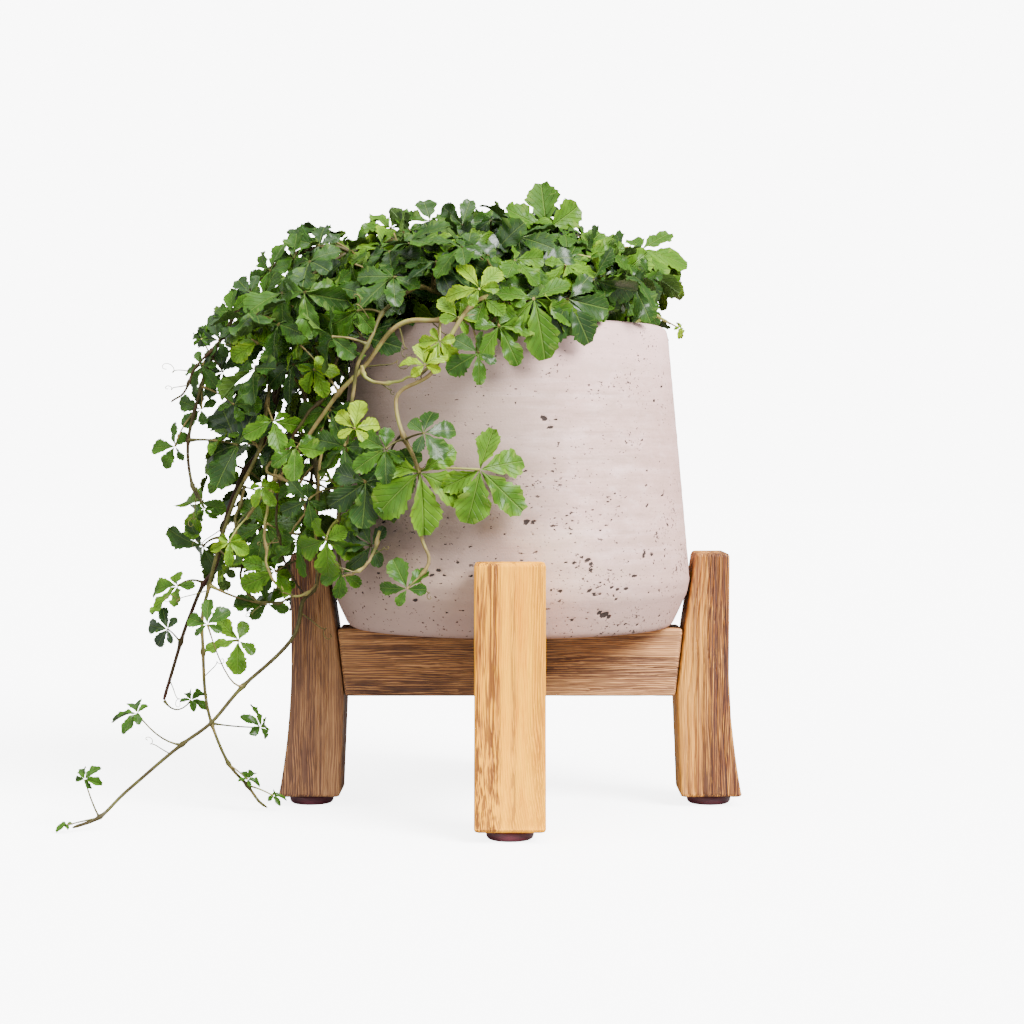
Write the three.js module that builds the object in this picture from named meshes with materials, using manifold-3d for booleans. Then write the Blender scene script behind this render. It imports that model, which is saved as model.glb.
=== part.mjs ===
// A potted miniature grape ivy: a tapered concrete pot filled with soil, carried on a
// cross-shaped wooden stand with four legs, and the leafy vines that climb out of the soil,
// arch over the rim and trail down the pot's left side to the surface it stands on.
// Millimetres, +Z up. Every size is given about the pot's own upright axis; the finished
// group is then moved so that its origin is the middle of its footprint on the floor.
import * as THREE from "three";
import { mergeVertices } from "three/addons/utils/BufferGeometryUtils.js";
import Module from "manifold-3d";

const wasm = await Module();
wasm.setup();

const gap = 0.3; // clearance between pieces that touch

const foot = { radius: 11, height: 4.7, round: 2, sides: 12 };

const leg = {
  bottom: foot.height + gap,
  top: 126,
  width: 32.5, // across, seen from the side that faces out
  worn: 1.6, // bevel of the worn edges
  innerBottom: 84.5, // distances from the pot's axis
  innerBar: 82.5,
  innerShelf: 86.5,
  innerTop: 92.2,
  outerTop: 109,
  outerWaist: 108.6,
  outerBottom: 115,
  waist: 72, // height where the outer face starts to flare
};

const bar = { bottom: 55, top: 88.5, thickness: 30, lapHalf: 15 };
const tenon = { bottom: 60, top: 84, thickness: 14, reach: 96 };

const pot = {
  bottom: bar.top + gap,
  top: 239,
  baseRadius: 78.5,
  chamferRadius: 89,
  chamferTop: 107,
  widest: 90,
  widestAt: 113,
  rimRadius: 79.3,
  rimRound: 5,
  wall: 10,
  floor: 14,
  sides: 36,
};

const soil = { top: 224, crown: 4, sides: 16, holeDepth: 13, holeRadius: 2.6, holeSides: 4 };

const stem = { sides: 3, step: 22 };
const petiole = { radius: 0.85, tip: 0.5, sides: 3, backStep: 9 };

// One leaf: five leaflets about a hub, each with a toothed, wedge-based outline.
const leaf = {
  thickness: 0.7,
  angles: [-112, -54, 0, 54, 112],
  lengths: [0.72, 0.93, 1, 0.93, 0.72],
  margin: [
    [0.64, -0.26, 0.06],
    [1, 0, 0],
    [0.64, 0.26, 0.06],
  ], // share of length, share across, share lifted off the midrib
  toothed: [
    [0.6, -0.27, 0.07],
    [0.74, -0.21, 0.04],
    [1, 0, 0],
    [0.74, 0.21, 0.04],
    [0.6, 0.27, 0.07],
  ], // the same for the largest leaves
  toothedFrom: 26.5,
  youngAngles: [-62, 0, 62], // young leaves are modelled with three leaflets
  youngLengths: [0.9, 1, 0.9],
  youngBelow: 19.6,
  notch: 0.1,
  droop: 0.22,
};

// Ways a leaf turns aside when it would cross a neighbour: swing, tilt and lift.
const turns = [
  [0, 0, 0],
  [0, 0, 3],
  [14, 0, 2],
  [-14, 0, 2],
  [0, 14, 3],
  [0, -14, 3],
  [20, 10, 5],
  [-20, 10, 5],
  [0, 0, 7],
  [25, -12, 7],
  [-25, -12, 7],
  [0, 25, 9],
  [35, 0, 9],
  [-35, 0, 9],
  [0, 0, 12],
  [30, 30, 12],
  [-30, 30, 12],
  [0, -35, 12],
];

// The vines. root is where the stem stands in the soil; route is the line it follows.
// Each leaf gives its hub, the way its middle leaflet points as seen from the front,
// the way it faces (swing, tilt), its size and the rise of its stalk.
// fill gives the leaves placed by rule: from, to, spacing, size and seed.
const vines = [
  {
    name: "trail_long",
    root: [-34, -24],
    radius: 1.3,
    route: [
      [-40, -30, 248],
      [-58, -40, 260],
      [-84, -45, 251],
      [-98, -46, 222],
      [-97, -48, 190],
      [-92, -50, 161],
      [-93, -50, 139],
      [-93, -48, 113],
      [-99, -50, 105],
      [-104, -54, 87],
      [-127, -58, 65],
      [-141, -62, 49],
      [-155, -66, 38],
      [-179, -73, 18],
      [-191, -80, 6],
      [-203, -84, 2],
    ],
    leaves: [
      [-143, -66, 95, 100, -10, 20, 13, -18],
      [-175, -72, 54, 170, 0, 50, 12, -6],
      [-198, -80, 24, 60, 0, 30, 9, -3],
      [-205, -86, 4, 150, 0, 75, 6, 0],
      [-117, -50, 142, -100, -10, 20, 22, -8],
    ],
    fill: [60, 190, 26, 19, 11],
  },
  {
    name: "trail_brown",
    root: [-48, -4],
    radius: 1.4,
    route: [
      [-53, -4, 250],
      [-82, -8, 261],
      [-104, -18, 240],
      [-114, -28, 212],
      [-117, -32, 194],
      [-122, -32, 177],
      [-131, -31, 165],
      [-139, -30, 144],
      [-144, -29, 121],
      [-150, -28, 112],
      [-156, -27, 98],
      [-162, -26, 83],
      [-170, -25, 54],
    ],
    leaves: [
      [-156, -30, 55, 60, 10, 50, 10, -8],
      [-167, -34, 90, 170, -15, 10, 12, 2],
    ],
    fill: [70, 175, 27, 17, 23],
  },
  {
    name: "trail_green",
    root: [-42, -14],
    radius: 1.2,
    route: [
      [-52, -18, 252],
      [-80, -30, 264],
      [-104, -42, 244],
      [-114, -50, 212],
      [-119, -50, 182],
      [-125, -48, 168],
      [-132, -47, 155],
      [-139, -46, 134],
      [-145, -44, 112],
      [-149, -42, 97],
      [-149, -40, 79],
      [-148, -37, 60],
      [-145, -34, 44],
      [-138, -31, 24],
      [-129, -29, 13],
      [-123, -28, 5],
      [-119, -27, 2],
    ],
    leaves: [
      [-121, -40, 43, 60, 60, 20, 12, 0],
      [-130, -52, 86, -160, 0, 15, 17, 3],
      [-117, -46, 103, 100, 5, 10, 18, -3],
      [-128, -34, 17, 60, 10, 40, 7, 1],
      [-116, -28, 8, 10, 10, 60, 6, 1],
    ],
    fill: [60, 190, 30, 18, 31],
  },
  {
    name: "rim_runner",
    root: [34, -36],
    radius: 1.3,
    route: [
      [36, -46, 242],
      [28, -60, 248],
      [12, -68, 247],
      [6, -77, 244],
      [-6, -86, 238],
      [-32, -88, 237],
      [-50, -84, 236],
      [-69, -76, 216],
      [-89, -68, 193],
      [-100, -64, 176],
      [-114, -61, 160],
      [-125, -58, 145],
    ],
    leaves: [
      [-132, -70, 134, -90, -5, 15, 10, 2],
      [-117, -70, 160, -60, 0, 30, 10, 2],
      [-39, -100, 215, 100, 5, 20, 13, -14],
      [-5, -94, 234, -60, 15, 15, 19, 3],
      [27, -72, 249, -80, 20, 15, 23, 4],
      [-14, -98, 221, -150, -10, 10, 16, 2],
    ],
    fill: [190, 250, 30, 14, 43],
  },
  {
    name: "front_drop",
    root: [6, -44],
    radius: 1.2,
    route: [
      [4, -56, 243],
      [-6, -76, 250],
      [-18, -92, 243],
      [-28, -95, 228],
      [-36, -94, 213],
      [-50, -94, 204],
      [-52, -95, 196],
      [-48, -97, 182],
      [-42, -98, 168],
      [-39, -98, 152],
      [-41, -97, 138],
      [-37, -97, 128],
      [-39, -97, 121],
      [-45, -97, 115],
    ],
    leaves: [
      [-41, -104, 167, -82, 5, 5, 27, 3],
      [-14, -101, 168, -42, 8, 5, 26, 0],
      [-14, -98, 251, 120, 0, 20, 16, 2],
      [-39, -108, 185, 20, 0, 30, 16, 2],
      [-47, -100, 114, 120, -10, 10, 15, 0],
      [-56, -102, 177, -150, -10, 15, 17, 2],
    ],
    fill: [36, 60, 22, 15, 57],
  },
  {
    name: "left_front",
    root: [-20, -40],
    radius: 1.1,
    route: [
      [-26, -50, 246],
      [-42, -66, 254],
      [-58, -80, 242],
      [-68, -87, 222],
      [-73, -86, 203],
      [-76, -84, 179],
      [-79, -79, 154],
      [-81, -74, 133],
      [-79, -70, 111],
    ],
    leaves: [
      [-76, -92, 179, -140, -20, 10, 19, 2],
      [-71, -98, 187, 80, 0, 20, 14, 3],
      [-66, -95, 162, -90, 0, 10, 21, 2],
      [-64, -88, 133, 175, -5, 0, 18, 2],
      [-78, -80, 120, -90, 0, 0, 12, 2],
    ],
    fill: [40, 80, 24, 17, 61],
  },
  {
    name: "glossy_left",
    root: [-28, -8],
    radius: 1.2,
    route: [
      [-36, -20, 252],
      [-50, -40, 264],
      [-64, -56, 256],
      [-76, -62, 236],
      [-85, -60, 212],
      [-90, -57, 196],
    ],
    leaves: [
      [-70, -70, 231, 95, -15, 35, 28, 3],
      [-58, -60, 253, 60, -5, 40, 20, 3],
      [-92, -74, 215, -60, -10, 10, 13, 2],
      [-85, -66, 196, -120, -20, 15, 20, 2],
    ],
    fill: [40, 75, 26, 18, 73],
  },
  {
    name: "far_left",
    root: [-50, -20],
    radius: 1.2,
    route: [
      [-60, -15, 258],
      [-88, -20, 278],
      [-118, -30, 265],
      [-138, -36, 236],
      [-150, -38, 208],
      [-156, -38, 182],
      [-154, -38, 160],
      [-149, -40, 151],
    ],
    leaves: [
      [-120, -50, 227, 100, -15, 25, 21, 4],
      [-139, -42, 215, 170, -20, 10, 15, 2],
      [-149, -44, 231, 100, -30, 20, 9, 4],
      [-163, -36, 179, 175, -20, 5, 14, 2],
      [-128, -46, 178, 130, -15, 10, 29, 2],
      [-150, -38, 197, 160, -15, 10, 14, 2],
      [-130, -42, 199, 60, -10, 0, 15, 2],
      [-148, -42, 149, -120, -20, 0, 8, 0],
    ],
    fill: [40, 90, 27, 17, 83],
  },
  {
    name: "top_left",
    root: [-26, 16],
    radius: 1.2,
    route: [
      [-34, 14, 254],
      [-56, 6, 274],
      [-78, -2, 277],
      [-98, -10, 265],
      [-114, -16, 248],
    ],
    leaves: [
      [-91, -10, 281, 175, -20, 60, 20, 4],
      [-122, -22, 251, 80, -20, 20, 17, 3],
      [-103, -30, 255, -100, -20, 30, 18, 3],
    ],
    fill: [30, 95, 24, 19, 97],
  },
  {
    name: "top_a",
    root: [-12, -4],
    radius: 1.1,
    route: [
      [-16, -6, 254],
      [-28, -12, 274],
      [-42, -16, 281],
      [-56, -16, 280],
    ],
    leaves: [
      [-63, -30, 277, -160, -10, 50, 21, 3],
      [-40, -8, 292, 160, 0, 50, 19, 4],
      [-60, -4, 289, 120, -10, 50, 16, 3],
    ],
    fill: [30, 60, 22, 19, 101],
  },
  {
    name: "top_b",
    root: [4, -12],
    radius: 1.1,
    route: [
      [2, -14, 252],
      [-6, -18, 270],
      [-14, -16, 282],
      [-20, -10, 287],
    ],
    leaves: [[-24, -6, 290, 80, 0, 20, 16, 3]],
    fill: [26, 60, 20, 19, 113],
  },
  {
    name: "top_c",
    root: [18, -16],
    radius: 1.1,
    route: [
      [18, -20, 248],
      [12, -27, 262],
      [2, -31, 269],
    ],
    leaves: [[18, -30, 285, 95, 20, 0, 24, 4]],
    fill: [24, 50, 18, 19, 127],
  },
  {
    name: "top_d",
    root: [16, 8],
    radius: 1.1,
    route: [
      [17, 8, 252],
      [14, 6, 274],
      [8, 4, 287],
    ],
    leaves: [[5, 0, 293, 165, 0, 60, 21, 3]],
    fill: [28, 66, 20, 20, 131],
  },
  {
    name: "right_a",
    root: [48, -18],
    radius: 1.1,
    route: [
      [52, -18, 244],
      [53, -17, 262],
      [50, -15, 276],
    ],
    leaves: [
      [47, -16, 280, 170, 0, 60, 20, 3],
      [66, 0, 278, -12, 10, 60, 24, 4],
      [48, -36, 258, 35, 10, 10, 26, 3],
    ],
    fill: [26, 50, 20, 18, 149],
  },
  {
    name: "right_b",
    root: [54, 0],
    radius: 1.1,
    route: [
      [58, -2, 242],
      [60, -3, 254],
      [58, 2, 264],
    ],
    leaves: [
      [60, -12, 259, -30, 20, 30, 17, 2],
      [66, 8, 250, -45, 30, 20, 14, 2],
    ],
  },
  {
    name: "rim_tip",
    root: [60, -16],
    radius: 1.1,
    route: [
      [65, -16, 242],
      [72, -15, 244],
      [79, -14, 240],
    ],
    leaves: [[84, -14, 238, -30, 40, 30, 6, 0]],
  },
  {
    name: "front_mid",
    root: [20, -32],
    radius: 1.1,
    route: [
      [20, -40, 246],
      [18, -50, 258],
      [8, -54, 262],
      [-4, -56, 262],
    ],
    leaves: [
      [12, -64, 266, -40, 0, 45, 20, 3],
      [28, -52, 268, 20, 10, 30, 20, 3],
      [-6, -66, 258, -130, -10, 35, 18, 2],
    ],
    fill: [30, 60, 20, 18, 151],
  },
  {
    name: "centre_low",
    root: [-6, -28],
    radius: 1.1,
    route: [
      [-10, -34, 244],
      [-20, -42, 256],
      [-30, -46, 258],
    ],
    leaves: [
      [-28, -50, 265, -60, 0, 30, 19, 3],
      [-44, -56, 258, 150, -10, 40, 17, 2],
    ],
  },
  {
    name: "left_mid",
    root: [-54, 12],
    radius: 1.2,
    route: [
      [-66, 13, 250],
      [-92, 16, 250],
      [-112, 18, 226],
      [-122, 18, 192],
      [-126, 18, 152],
      [-130, 16, 116],
    ],
    fill: [34, 235, 37, 21, 163],
  },
  {
    name: "back_left_a",
    root: [-42, 26],
    radius: 1.2,
    route: [
      [-54, 32, 252],
      [-76, 42, 256],
      [-94, 50, 236],
      [-101, 54, 205],
      [-105, 56, 165],
      [-108, 58, 125],
      [-112, 60, 92],
    ],
    fill: [36, 270, 41, 22, 173],
  },
  {
    name: "back_left_b",
    root: [-24, 38],
    radius: 1.2,
    route: [
      [-34, 50, 250],
      [-50, 68, 255],
      [-62, 82, 240],
      [-70, 90, 208],
      [-74, 94, 170],
      [-76, 96, 134],
    ],
    fill: [36, 230, 40, 22, 181],
  },
  {
    name: "back_a",
    root: [-2, 46],
    radius: 1.1,
    route: [
      [-6, 56, 248],
      [-10, 74, 254],
      [-14, 89, 240],
      [-16, 96, 210],
      [-18, 99, 178],
    ],
    fill: [34, 160, 34, 22, 191],
  },
  {
    name: "back_b",
    root: [24, 38],
    radius: 1.1,
    route: [
      [28, 50, 248],
      [34, 66, 254],
      [42, 80, 240],
      [46, 87, 214],
      [48, 91, 192],
    ],
    fill: [34, 140, 34, 21, 193],
  },
  {
    name: "back_right",
    root: [44, 18],
    radius: 1.1,
    route: [
      [47, 31, 246],
      [52, 46, 250],
      [57, 62, 246],
      [58, 75, 228],
    ],
    fill: [32, 90, 24, 18, 197],
  },
  {
    name: "top_back",
    root: [24, 24],
    radius: 1.1,
    route: [
      [27, 28, 250],
      [32, 35, 264],
      [30, 46, 271],
    ],
    fill: [26, 64, 17, 20, 211],
  },
  {
    name: "top_right",
    root: [38, 4],
    radius: 1.1,
    route: [
      [41, 6, 250],
      [42, 12, 264],
      [38, 20, 272],
    ],
    fill: [26, 60, 18, 19, 223],
  },
  {
    name: "crown_a",
    root: [-2, 24],
    radius: 1.1,
    route: [
      [-3, 27, 252],
      [-6, 34, 270],
      [-10, 40, 282],
    ],
    fill: [32, 74, 10, 22, 229],
  },
  {
    name: "crown_b",
    root: [-14, 10],
    radius: 1.1,
    route: [
      [-17, 12, 254],
      [-26, 18, 274],
      [-36, 24, 286],
    ],
    fill: [42, 84, 9, 20, 233],
  },
  {
    name: "crown_c",
    root: [-10, 36],
    radius: 1.1,
    route: [
      [-16, 42, 252],
      [-28, 52, 268],
      [-36, 58, 276],
    ],
    fill: [36, 84, 9, 20, 239],
  },
  {
    name: "crown_d",
    root: [10, 34],
    radius: 1.1,
    route: [
      [13, 42, 252],
      [18, 54, 268],
      [22, 64, 276],
    ],
    fill: [36, 84, 9, 20, 241],
  },
  {
    name: "crown_e",
    root: [-36, 8],
    radius: 1.1,
    route: [
      [-40, 12, 252],
      [-56, 24, 270],
      [-70, 34, 276],
    ],
    fill: [40, 90, 10, 20, 251],
  },
];

const paint = (colour, roughness) =>
  new THREE.MeshStandardMaterial({ color: colour, roughness, metalness: 0 });
const concrete = paint(0xb4a8a0, 0.85);
const earth = paint(0x3a2a1e, 0.95);
const palePine = paint(0xd9a45c, 0.7);
const brownWood = paint(0x9a6a42, 0.75);
const glide = paint(0x4a1f1a, 0.5);
const foliage = paint(0x3f7a2c, 0.5);

const quarter = Math.PI / 2;
const radians = (degrees) => (degrees * Math.PI) / 180;

// Any closed geometry as a solid, and a solid back as a geometry.
function solidOf(geometry) {
  const bare = geometry.clone();
  bare.deleteAttribute("normal");
  bare.deleteAttribute("uv");
  const merged = mergeVertices(bare, 1e-4);
  return new wasm.Manifold(
    new wasm.Mesh({
      numProp: 3,
      vertProperties: merged.attributes.position.array,
      triVerts: new Uint32Array(merged.index.array),
    }),
  );
}

function geometryOf(solid) {
  const mesh = solid.getMesh();
  const geometry = new THREE.BufferGeometry();
  geometry.setAttribute("position", new THREE.BufferAttribute(mesh.vertProperties, 3));
  geometry.setIndex(new THREE.BufferAttribute(mesh.triVerts, 1));
  geometry.computeVertexNormals();
  return geometry;
}

function boxBetween(low, high) {
  const size = high.map((value, i) => value - low[i]);
  const middle = high.map((value, i) => (value + low[i]) / 2);
  return new THREE.BoxGeometry(...size).translate(...middle);
}

const potted = new THREE.Group();

function addPiece(parent, name, geometry, material) {
  const mesh = new THREE.Mesh(geometry, material);
  mesh.name = name;
  parent.add(mesh);
  return mesh;
}

// The stand

// One leg, standing along +X: straight inside below the bar, leaning out above it so that
// the pot drops between the tops, and flared outwards at the foot.
function legGeometry() {
  const outline = new THREE.Shape();
  outline.moveTo(leg.innerBottom, leg.bottom);
  outline.lineTo(leg.outerBottom, leg.bottom);
  outline.quadraticCurveTo(leg.outerWaist, leg.waist * 0.7, leg.outerWaist, leg.waist);
  outline.lineTo(leg.outerTop, leg.top);
  outline.lineTo(leg.innerTop, leg.top);
  outline.lineTo(leg.innerShelf, bar.top);
  outline.lineTo(leg.innerBar, bar.bottom);
  const block = new THREE.ExtrudeGeometry(outline, {
    depth: leg.width - 2 * leg.worn,
    curveSegments: 4,
    bevelEnabled: true,
    bevelThickness: leg.worn,
    bevelSize: leg.worn,
    bevelOffset: -leg.worn,
    bevelSegments: 1,
  });
  block.rotateX(quarter).translate(0, leg.width / 2 - leg.worn, 0);
  const half = tenon.thickness / 2 + gap;
  const mortise = boxBetween(
    [leg.innerBar - 5, -half, tenon.bottom - gap],
    [tenon.reach + gap, half, tenon.top + gap],
  );
  return geometryOf(solidOf(block).subtract(solidOf(mortise)));
}

// One bar of the cross, along X, with a tenon at each end and half its height cut away
// where the other bar crosses it.
function barGeometry(cutFromTop) {
  const low = leg.innerBar - gap;
  const high = leg.innerShelf - gap;
  const outline = new THREE.Shape([
    new THREE.Vector2(-low, bar.bottom),
    new THREE.Vector2(low, bar.bottom),
    new THREE.Vector2(high, bar.top),
    new THREE.Vector2(-high, bar.top),
  ]);
  const block = new THREE.ExtrudeGeometry(outline, {
    depth: bar.thickness,
    bevelEnabled: false,
  });
  block.rotateX(quarter).translate(0, bar.thickness / 2, 0);
  const half = tenon.thickness / 2;
  const tongue = boxBetween(
    [-tenon.reach, -half, tenon.bottom],
    [tenon.reach, half, tenon.top],
  );
  const middle = (bar.bottom + bar.top) / 2;
  const reach = bar.lapHalf + gap;
  const lap = cutFromTop
    ? boxBetween([-reach, -bar.thickness, middle - gap / 2], [reach, bar.thickness, bar.top + 1])
    : boxBetween([-reach, -bar.thickness, bar.bottom - 1], [reach, bar.thickness, middle + gap / 2]);
  return geometryOf(solidOf(block).add(solidOf(tongue)).subtract(solidOf(lap)));
}

function footGeometry() {
  const profile = [
    new THREE.Vector2(0, 0),
    new THREE.Vector2(foot.radius - foot.round, 0),
    new THREE.Vector2(foot.radius - foot.round * 0.3, foot.round * 0.4),
    new THREE.Vector2(foot.radius, foot.round),
    new THREE.Vector2(foot.radius, foot.height),
    new THREE.Vector2(0, foot.height),
  ];
  return new THREE.LatheGeometry(profile, foot.sides).rotateX(quarter);
}

const stand = new THREE.Group();
potted.add(stand);
const sides = [
  ["right", 0],
  ["back", 1],
  ["left", 2],
  ["front", 3],
];
const footCentre = (leg.innerBottom + leg.outerBottom) / 2;
for (const [side, turn] of sides) {
  const corner = new THREE.Group();
  corner.rotation.z = turn * quarter;
  stand.add(corner);
  addPiece(corner, "leg_" + side, legGeometry(), side === "front" ? palePine : brownWood);
  addPiece(corner, "foot_" + side, footGeometry(), glide).position.x = footCentre;
}
addPiece(stand, "bar_across", barGeometry(true), brownWood);
addPiece(stand, "bar_front_to_back", barGeometry(false), brownWood).rotation.z = quarter;

// The pot and its soil

const innerTop = pot.rimRadius - pot.wall;
const innerBase = pot.widest - pot.wall;

function potGeometry() {
  const profile = [
    [0, pot.bottom],
    [pot.baseRadius, pot.bottom],
    [pot.baseRadius + 3, pot.bottom + 2],
    [pot.chamferRadius, pot.chamferTop],
    [pot.widest, pot.widestAt],
    [pot.rimRadius, pot.top - pot.rimRound],
    [pot.rimRadius - pot.rimRound * 0.3, pot.top - pot.rimRound * 0.3],
    [pot.rimRadius - pot.rimRound, pot.top],
    [innerTop + 1, pot.top],
    [innerTop, pot.top - 1.5],
    [innerBase, pot.widestAt],
    [innerBase - 6, pot.bottom + pot.floor],
    [0, pot.bottom + pot.floor],
  ].map(([radius, height]) => new THREE.Vector2(radius, height));
  return new THREE.LatheGeometry(profile, pot.sides).rotateX(quarter);
}

// The soil fills the pot to just under the rim, domed a little, with a hole for each stem.
function soilGeometry() {
  const slope = (innerBase - innerTop) / (pot.top - 1.5 - pot.widestAt);
  const wallAt = (height) => innerBase - slope * (height - pot.widestAt);
  const clear = gap + 0.4;
  const profile = [
    [0, pot.bottom + pot.floor + gap],
    [innerBase - 7, pot.bottom + pot.floor + gap],
    [innerBase - 1 - clear, pot.widestAt],
    [wallAt(soil.top) - clear, soil.top],
    [wallAt(soil.top) * 0.5, soil.top + soil.crown * 0.7],
    [0, soil.top + soil.crown],
  ].map(([radius, height]) => new THREE.Vector2(radius, height));
  let body = solidOf(new THREE.LatheGeometry(profile, soil.sides).rotateX(quarter));
  for (const { root } of vines) {
    const hole = new THREE.CylinderGeometry(
      soil.holeRadius,
      soil.holeRadius,
      2 * soil.holeDepth,
      soil.holeSides,
    );
    hole.rotateX(quarter).translate(root[0], root[1], soil.top);
    body = body.subtract(solidOf(hole));
  }
  return geometryOf(body);
}

addPiece(potted, "pot", potGeometry(), concrete);
addPiece(potted, "soil", soilGeometry(), earth);

// The vines

// Repeatable random draws: each new state is the last times 16807, modulo 2 to the 31 less 1.
function draws(seed) {
  let state = seed * 7919 + 13;
  return () => {
    state = (state * 16807) % 2147483647;
    return state / 2147483647;
  };
}

const up = new THREE.Vector3(0, 0, 1);

// The points that a stem passes through, rising straight out of the soil first.
function stemLine(vine) {
  const [x, y] = vine.root;
  const points = [
    [x, y, soil.top - soil.holeDepth + gap],
    [x, y, soil.top + soil.crown + 2],
    [x, y, soil.top + soil.crown + 9],
    ...vine.route,
  ].map((point) => new THREE.Vector3(...point));
  const curve = new THREE.CatmullRomCurve3(points, false, "catmullrom", 0.5);
  const spans = points.length - 1;
  const line = [points[0]];
  for (let i = 0; i < spans; i++) {
    const steps = i < 2 ? 1 : Math.ceil(points[i].distanceTo(points[i + 1]) / stem.step);
    for (let j = 1; j <= steps; j++) line.push(curve.getPoint((i + j / steps) / spans));
  }
  return line;
}

// A tube of few sides along points, closed at both ends, thinning from one radius to another.
function tube(points, radiusStart, radiusEnd, sideCount) {
  const positions = [];
  const faces = [];
  const last = points.length - 1;
  let normal = null;
  points.forEach((point, i) => {
    const ahead = points[Math.min(i + 1, last)];
    const behind = points[Math.max(i - 1, 0)];
    const along = ahead.clone().sub(behind).normalize();
    if (!normal) {
      const aside = Math.abs(along.x) < 0.9 ? new THREE.Vector3(1, 0, 0) : new THREE.Vector3(0, 1, 0);
      normal = aside.cross(along).normalize();
    }
    normal.addScaledVector(along, -normal.dot(along)).normalize();
    const across = along.clone().cross(normal);
    const radius = radiusStart + ((radiusEnd - radiusStart) * i) / last;
    for (let side = 0; side < sideCount; side++) {
      const angle = (2 * Math.PI * side) / sideCount;
      const corner = point
        .clone()
        .addScaledVector(normal, radius * Math.cos(angle))
        .addScaledVector(across, radius * Math.sin(angle));
      positions.push(corner.x, corner.y, corner.z);
    }
  });
  for (let i = 0; i < last; i++)
    for (let side = 0; side < sideCount; side++) {
      const here = i * sideCount + side;
      const next = i * sideCount + ((side + 1) % sideCount);
      faces.push(here, next, next + sideCount, here, next + sideCount, here + sideCount);
    }
  for (let side = 1; side < sideCount - 1; side++) {
    faces.push(0, side + 1, side);
    const end = last * sideCount;
    faces.push(end, end + side, end + side + 1);
  }
  const geometry = new THREE.BufferGeometry();
  geometry.setAttribute("position", new THREE.Float32BufferAttribute(positions, 3));
  return geometry.setIndex(faces);
}

// A leaf blade of even thickness: a small flat middle about the hub, and the leaflets that
// grow from its sides, each drooping with the square of its reach.
function blade({ hub, facing, pointing, size }) {
  const across = facing.clone().cross(pointing);
  const margin = size < leaf.toothedFrom ? leaf.margin : leaf.toothed;
  const angles = size < leaf.youngBelow ? leaf.youngAngles : leaf.angles;
  const lengths = size < leaf.youngBelow ? leaf.youngLengths : leaf.lengths;
  const direction = (angle) =>
    pointing
      .clone()
      .multiplyScalar(Math.cos(angle))
      .addScaledVector(across, Math.sin(angle));
  const notchAt = (angle) => hub.clone().addScaledVector(direction(angle), leaf.notch * size);
  const rim = [];
  angles.forEach((degrees, i) => {
    const before = i > 0 ? radians((degrees + angles[i - 1]) / 2) : Math.PI;
    const out = direction(radians(degrees));
    const aside = facing.clone().cross(out);
    const length = lengths[i] * size;
    rim.push(notchAt(before));
    for (const [reach, side, lift] of margin) {
      const fall = (leaf.droop * (reach * length) ** 2) / size;
      rim.push(
        hub
          .clone()
          .addScaledVector(out, reach * length)
          .addScaledVector(aside, side * length)
          .addScaledVector(facing, lift * length - fall),
      );
    }
  });
  const positions = [];
  for (const drop of [0, leaf.thickness])
    for (const point of rim) {
      const placed = point.clone().addScaledVector(facing, -drop);
      positions.push(placed.x, placed.y, placed.z);
    }
  const count = rim.length;
  const faces = [];
  const face = (a, b, c) => faces.push(a, b, c, count + a, count + c, count + b);
  const stride = margin.length + 1;
  const tip = (margin.length + 1) / 2;
  for (let first = 0; first < count; first += stride) {
    const second = (first + stride) % count;
    face(first, first + tip, second);
    for (let i = 1; i < tip; i++) face(first, first + i, first + i + 1);
    for (let i = tip; i < margin.length; i++) face(second, first + i, first + i + 1);
  }
  for (let i = 2; i < angles.length; i++) face(0, (i - 1) * stride, i * stride);
  for (let i = 0; i < count; i++) {
    const next = (i + 1) % count;
    faces.push(i, count + i, count + next, i, count + next, next);
  }
  const geometry = new THREE.BufferGeometry();
  geometry.setAttribute("position", new THREE.Float32BufferAttribute(positions, 3));
  return geometry.setIndex(faces);
}

// A leaf stalk: from the stem's middle into the middle of the blade, bent only where its
// bow is large.
function stalk({ start, hub, facing, bow }) {
  const end = hub.clone().addScaledVector(facing, -leaf.thickness / 2);
  const bend = start.clone().lerp(end, 0.5).addScaledVector(up, bow);
  const curve = new THREE.QuadraticBezierCurve3(start, bend, end);
  return tube(curve.getPoints(Math.abs(bow) > 4 ? 4 : 1), petiole.radius, petiole.tip, petiole.sides);
}

// The direction that a swing from the front and a tilt upwards give.
function facingFrom(swing, tilt) {
  const flat = Math.cos(radians(tilt));
  return new THREE.Vector3(
    Math.sin(radians(swing)) * flat,
    -Math.cos(radians(swing)) * flat,
    Math.sin(radians(tilt)),
  );
}

function levelled(direction, facing) {
  return direction.clone().addScaledVector(facing, -direction.dot(facing)).normalize();
}

// The stem point that a hub hangs from: the nearest one, then a little back towards the root.
function stalkStart(line, hub) {
  let best = 0;
  line.forEach((point, i) => {
    if (point.distanceTo(hub) < line[best].distanceTo(hub)) best = i;
  });
  while (best > 3 && line[best].distanceTo(hub) < petiole.backStep) best -= 1;
  return line[best];
}

// A leaf placed by hand, given one of the turns.
function pickedLeaf(line, [x, y, z, aim, swing, tilt, size, bow], turn) {
  const facing = facingFrom(swing + turn[0], tilt + turn[1]);
  const hub = new THREE.Vector3(x, y, z).addScaledVector(facing, turn[2]);
  const pointing = levelled(
    new THREE.Vector3(Math.cos(radians(aim)), 0, Math.sin(radians(aim))),
    facing,
  );
  return { start: stalkStart(line, new THREE.Vector3(x, y, z)), hub, facing, pointing, size, bow };
}

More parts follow.
